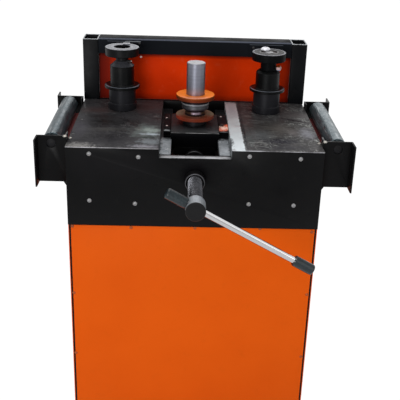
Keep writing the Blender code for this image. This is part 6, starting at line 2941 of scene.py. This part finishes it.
@dataclass
class SideRoller(SubAssembly):
    """A free roller on its axle, between two folded brackets.

    Attributes:
        side: LEFT or RIGHT.
        edge: Rounding of the brackets and the axle.
        bore: The radius of the tube's bore.
        wall: The tube's wall.
        cap: The thickness of its end caps.
        chamfer: The chamfer at its ends.
        plate_bolt: The place of the plate's bolt, across and behind the table's edge.
        weld: The place of the bead on the front bracket's inner wall.
        bolt: The plate's bolt.
        bead: The bead.
    """

    side: int = LEFT
    edge: float = 0.0008
    bore: float = 0.0085
    wall: float = 0.003
    cap: float = 0.006
    chamfer: float = 0.0012
    plate_bolt: tuple[float, float] = (0.3202, 0.0650)
    weld: tuple[float, float] = (0.3280, 0.0270)
    bolt: Fastener = Fastener(ScrewHead.DOME, 0.0048, 0.0034, 0.0018)
    bead: Fastener = Fastener(ScrewHead.DOME, 0.0052, 0.0040, 0.0010)

    def build(self) -> None:
        """Models and dresses the side roller."""
        word = WORDS[self.side]
        for row in ("front", "rear"):
            node = f"{row}_{word}_bracket"
            piece = from_node(node, node + "_folded")
            round_edges(piece, self.edge, worn=True)
            self.seat(piece, Body.FRAME, Slot.BLACK, BLACK, node, edge=BLACK_EDGE)
        self.axle(word)
        self.tube(word)
        place = DATUM.at(self.side * self.plate_bolt[0], self.plate_bolt[1], 0.0)
        self.bolt.fit(self, [(f"{word}_plate_bolt", place, UP)], Body.FRAME, SCREW_ZINC)
        top = levels(f"front_{word}_bracket")[1]
        place = DATUM.at(self.side * self.weld[0], self.weld[1], top)
        self.bead.fit(self, [(f"{word}_bracket_weld", place, UP)], Body.FRAME, SCREW_ZINC)

    def centre(self, word: str) -> Vector:
        """The roller's axis at the table's front face."""
        middle = middle_of(f"{word}_roller_tube")
        return Vector((middle.x, DATUM.front, middle.z))

    def axle(self, word: str) -> None:
        """The fixed axle, with a boss at each end.

        Args:
            word: The side's name.
        """
        node = f"{word}_roller_axle"
        finish = replace(AXLE_STEEL, centre=self.centre(word))
        self.round_off(node, self.edge, Body.FRAME, Slot.BRIGHT, finish, STEEL_EDGE)

    def tube(self, word: str) -> None:
        """The galvanised tube with its end caps.

        Args:
            word: The side's name.
        """
        node = f"{word}_roller_tube"
        low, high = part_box(node)
        centre = self.centre(word)
        near, far = low.y - centre.y, high.y - centre.y
        radius = (high.x - low.x) / 2
        bore, wall, cap, chamfer = self.bore, self.wall, self.cap, self.chamfer
        profile = [
            (radius - chamfer, far),
            (radius, far - chamfer),
            (radius, near + chamfer),
            (radius - chamfer, near),
            (bore, near),
            (bore, near + cap),
            (radius - wall, near + cap),
            (radius - wall, far - cap),
            (bore, far - cap),
            (bore, far),
        ]
        piece = lathe(node + "_rolled", profile, centre, Axis.Y, bore=True)
        body, finish = (Body.RIGHT_ROLLER, ZINC)
        # The left roller takes the darker copy of the zinc, painted shade.
        if self.side == LEFT:
            body, finish = (Body.LEFT_ROLLER, SHADED_ZINC)
        self.seat(piece, body, Slot.ZINC, finish, node)


@dataclass
class Drive(SubAssembly):
    """Everything under the table: housings, gears, gearbox, motor, electrical box and gland.

    Attributes:
        edge: Rounding of the gearbox and the housings.
        gland_edge: Rounding of the gland.
    """

    edge: float = 0.0008
    gland_edge: float = 0.0005

    def build(self) -> None:
        """Models and dresses the drive."""
        dark = Paint("gearbox_grey", colour=tone(70, 76, 80), second=tone(60, 66, 70), roughness=0.5)
        motor = Paint("motor_blue_grey", colour=tone(108, 118, 126), second=tone(96, 106, 114), roughness=0.5)
        enamel = Paint("box_enamel", colour=tone(200, 200, 194), second=tone(190, 190, 184), roughness=0.45)
        for node in ("gearbox", "left_bearing_housing", "right_bearing_housing"):
            self.round_off(node, self.edge, Body.FRAME, Slot.DARK, dark, BLACK_EDGE)
        self.dress("motor_housing", Slot.MOTOR, motor)
        self.dress("electrical_box", Slot.ENAMEL, enamel)
        centre = Vector((0.0, middle_of("drive_gear").y, DATUM.top))
        light, dull = tone(96, 96, 98), tone(60, 60, 62)
        steel = TurnedSteel("drive_gear_steel", centre=centre, colour=light, second=dull)
        for node, slot in (("drive_gear", Slot.DARK), ("output_shaft", Slot.BRIGHT)):
            self.dress(node, slot, steel)
        nylon = Plastic("gland_nylon_black")
        self.round_off("cable_gland", self.gland_edge, Body.FRAME, Slot.NYLON, nylon, worn=False)


@dataclass
class Studio:
    """Camera, floor, lamps and world.

    Attributes:
        camera_offset: The camera's place from the table's front edge.
        pitch: Degrees the camera looks down.
        yaw: Degrees it looks to the right.
        roll: Degrees it is rolled.
        lens: Focal length in millimetres.
        sensor: The sensor's width in millimetres.
        shift: The lens's shift across and up, as a share of that width.
        floor_size: The floor's width.
        floor_colour: Its colour.
        floor_glow: How bright it looks to the camera.
        floor_share: How much of that brightness covers its colour.
        world_light: The world's strength for the light it gives.
    """

    camera_offset: tuple[float, float, float] = (-0.0387, -1.8554, 0.6580)
    pitch: float = 23.11
    yaw: float = 2.03
    roll: float = 1.98
    lens: float = 70.9
    sensor: float = 36.0
    shift: tuple[float, float] = (-0.0119, -0.0024)
    floor_size: float = 60.0
    floor_colour: Colour = (0.8, 0.8, 0.8)
    floor_glow: float = 1.12
    floor_share: float = 0.90
    world_light: float = 0.34

    def build(self) -> None:
        """Sets the whole studio up."""
        self.camera()
        self.floor()
        self.lamps()
        self.world()
        bpy.context.scene.view_settings.view_transform = "Standard"

    def camera(self) -> None:
        """The camera at the photograph's viewing angle."""
        pitch, yaw, roll = (radians(angle) for angle in (self.pitch, self.yaw, self.roll))
        forward = Vector((sin(yaw) * cos(pitch), cos(yaw) * cos(pitch), -sin(pitch)))
        level = Vector((cos(yaw), -sin(yaw), 0.0))
        upright = level.cross(forward)
        right = cos(roll) * level + sin(roll) * upright
        up = cos(roll) * upright - sin(roll) * level
        data = bpy.data.cameras.new("camera")
        data.sensor_width = self.sensor
        data.lens = self.lens
        data.shift_x, data.shift_y = self.shift
        camera = bpy.data.objects.new("camera", data)
        turn = Matrix((right, up, -forward)).transposed().to_4x4()
        camera.matrix_world = Matrix.Translation(DATUM.at(*self.camera_offset)) @ turn
        bpy.context.scene.collection.objects.link(camera)
        bpy.context.scene.camera = camera

    def floor(self) -> None:
        """A pale floor that reads white to the camera and keeps a soft shadow."""
        deselect_all()
        bpy.ops.mesh.primitive_plane_add(size=self.floor_size, location=(0.0, 0.0, 0.0))
        floor = bpy.context.object
        floor.name = "floor"
        material = bpy.data.materials.new("pale_floor")
        material.use_nodes = True
        tree = material.node_tree
        tree.nodes.clear()
        seen = {0: self.seen(tree), 1: self.floor_share}
        share = add_node(tree, "ShaderNodeMath", seen, operation="MULTIPLY")
        matte = add_node(tree, "ShaderNodeBsdfDiffuse", {"Color": self.floor_colour})
        glow = add_node(tree, "ShaderNodeEmission", {"Strength": self.floor_glow})
        parts = {0: share.outputs[0], 1: matte.outputs[0], 2: glow.outputs[0]}
        mix = add_node(tree, "ShaderNodeMixShader", parts)
        add_node(tree, "ShaderNodeOutputMaterial", {"Surface": mix.outputs[0]})
        floor.data.materials.append(material)

    def seen(self, tree: bpy.types.NodeTree) -> Socket:
        """One for camera, glossy and transmission rays, and zero for the rest.

        Args:
            tree: The node tree.

        Returns:
            The sum, held at one.
        """
        rays = add_node(tree, "ShaderNodeLightPath").outputs
        total = rays["Is Camera Ray"]
        for name in ("Is Glossy Ray", "Is Transmission Ray"):
            both = {0: total, 1: rays[name]}
            total = add_node(tree, "ShaderNodeMath", both, operation="ADD", use_clamp=True).outputs[0]
        return total

    def lamp(self, name: str, place: Vector, target: Vector, size: float, power: float) -> None:
        """A square soft lamp.

        Args:
            name: Its name.
            place: Where it stands.
            target: What it faces.
            size: The length of its sides.
            power: Its power in watts.
        """
        data = bpy.data.lights.new(name, "AREA")
        data.size = size
        data.energy = power
        lamp = bpy.data.objects.new(name, data)
        lamp.location = place
        lamp.rotation_euler = (target - place).to_track_quat("-Z", "Y").to_euler()
        bpy.context.scene.collection.objects.link(lamp)

    def lamps(self) -> None:
        """A soft key from the front left, a fill from the right and a broad lamp above."""
        target = DATUM.at(0.0, 0.15, -0.1)
        self.lamp("key", DATUM.at(-1.1, -3.0, 0.35), target, 1.4, 52.0)
        self.lamp("fill", DATUM.at(2.4, -2.2, 0.8), target, 2.2, 16.0)
        self.lamp("top", DATUM.at(-0.2, 0.1, 2.4), target, 2.2, 30.0)
        self.lamp("back", DATUM.at(0.4, 2.8, 1.2), target, 2.4, 20.0)

    def world(self) -> None:
        """White for what sees it directly, soft grey for its light."""
        world = bpy.data.worlds.new("studio")
        bpy.context.scene.world = world
        world.use_nodes = True
        tree = world.node_tree
        tree.nodes.clear()
        strengths = {"Value": self.seen(tree), "To Min": self.world_light, "To Max": 1.0}
        strength = add_node(tree, "ShaderNodeMapRange", strengths).outputs["Result"]
        background = add_node(tree, "ShaderNodeBackground", {"Strength": strength})
        add_node(tree, "ShaderNodeOutputWorld", {"Surface": background.outputs[0]})


def main() -> None:
    """Builds every sub-assembly in order."""
    logging.basicConfig(level=logging.INFO, format="%(name)s: %(message)s")
    assemblies: list[SubAssembly] = [
        Cabinet(),
        Backboard(),
        Table(),
        Carriage(),
        Handle(),
        CentreSpindle(),
        RearSpindle(side=LEFT),
        RearSpindle(side=RIGHT),
        SideRoller(side=LEFT),
        SideRoller(side=RIGHT),
        Drive(),
    ]
    for assembly in assemblies:
        assembly.build()
        LOG.info("%s built", type(assembly).__name__)
    Studio().build()


if __name__ == "__main__":
    main()
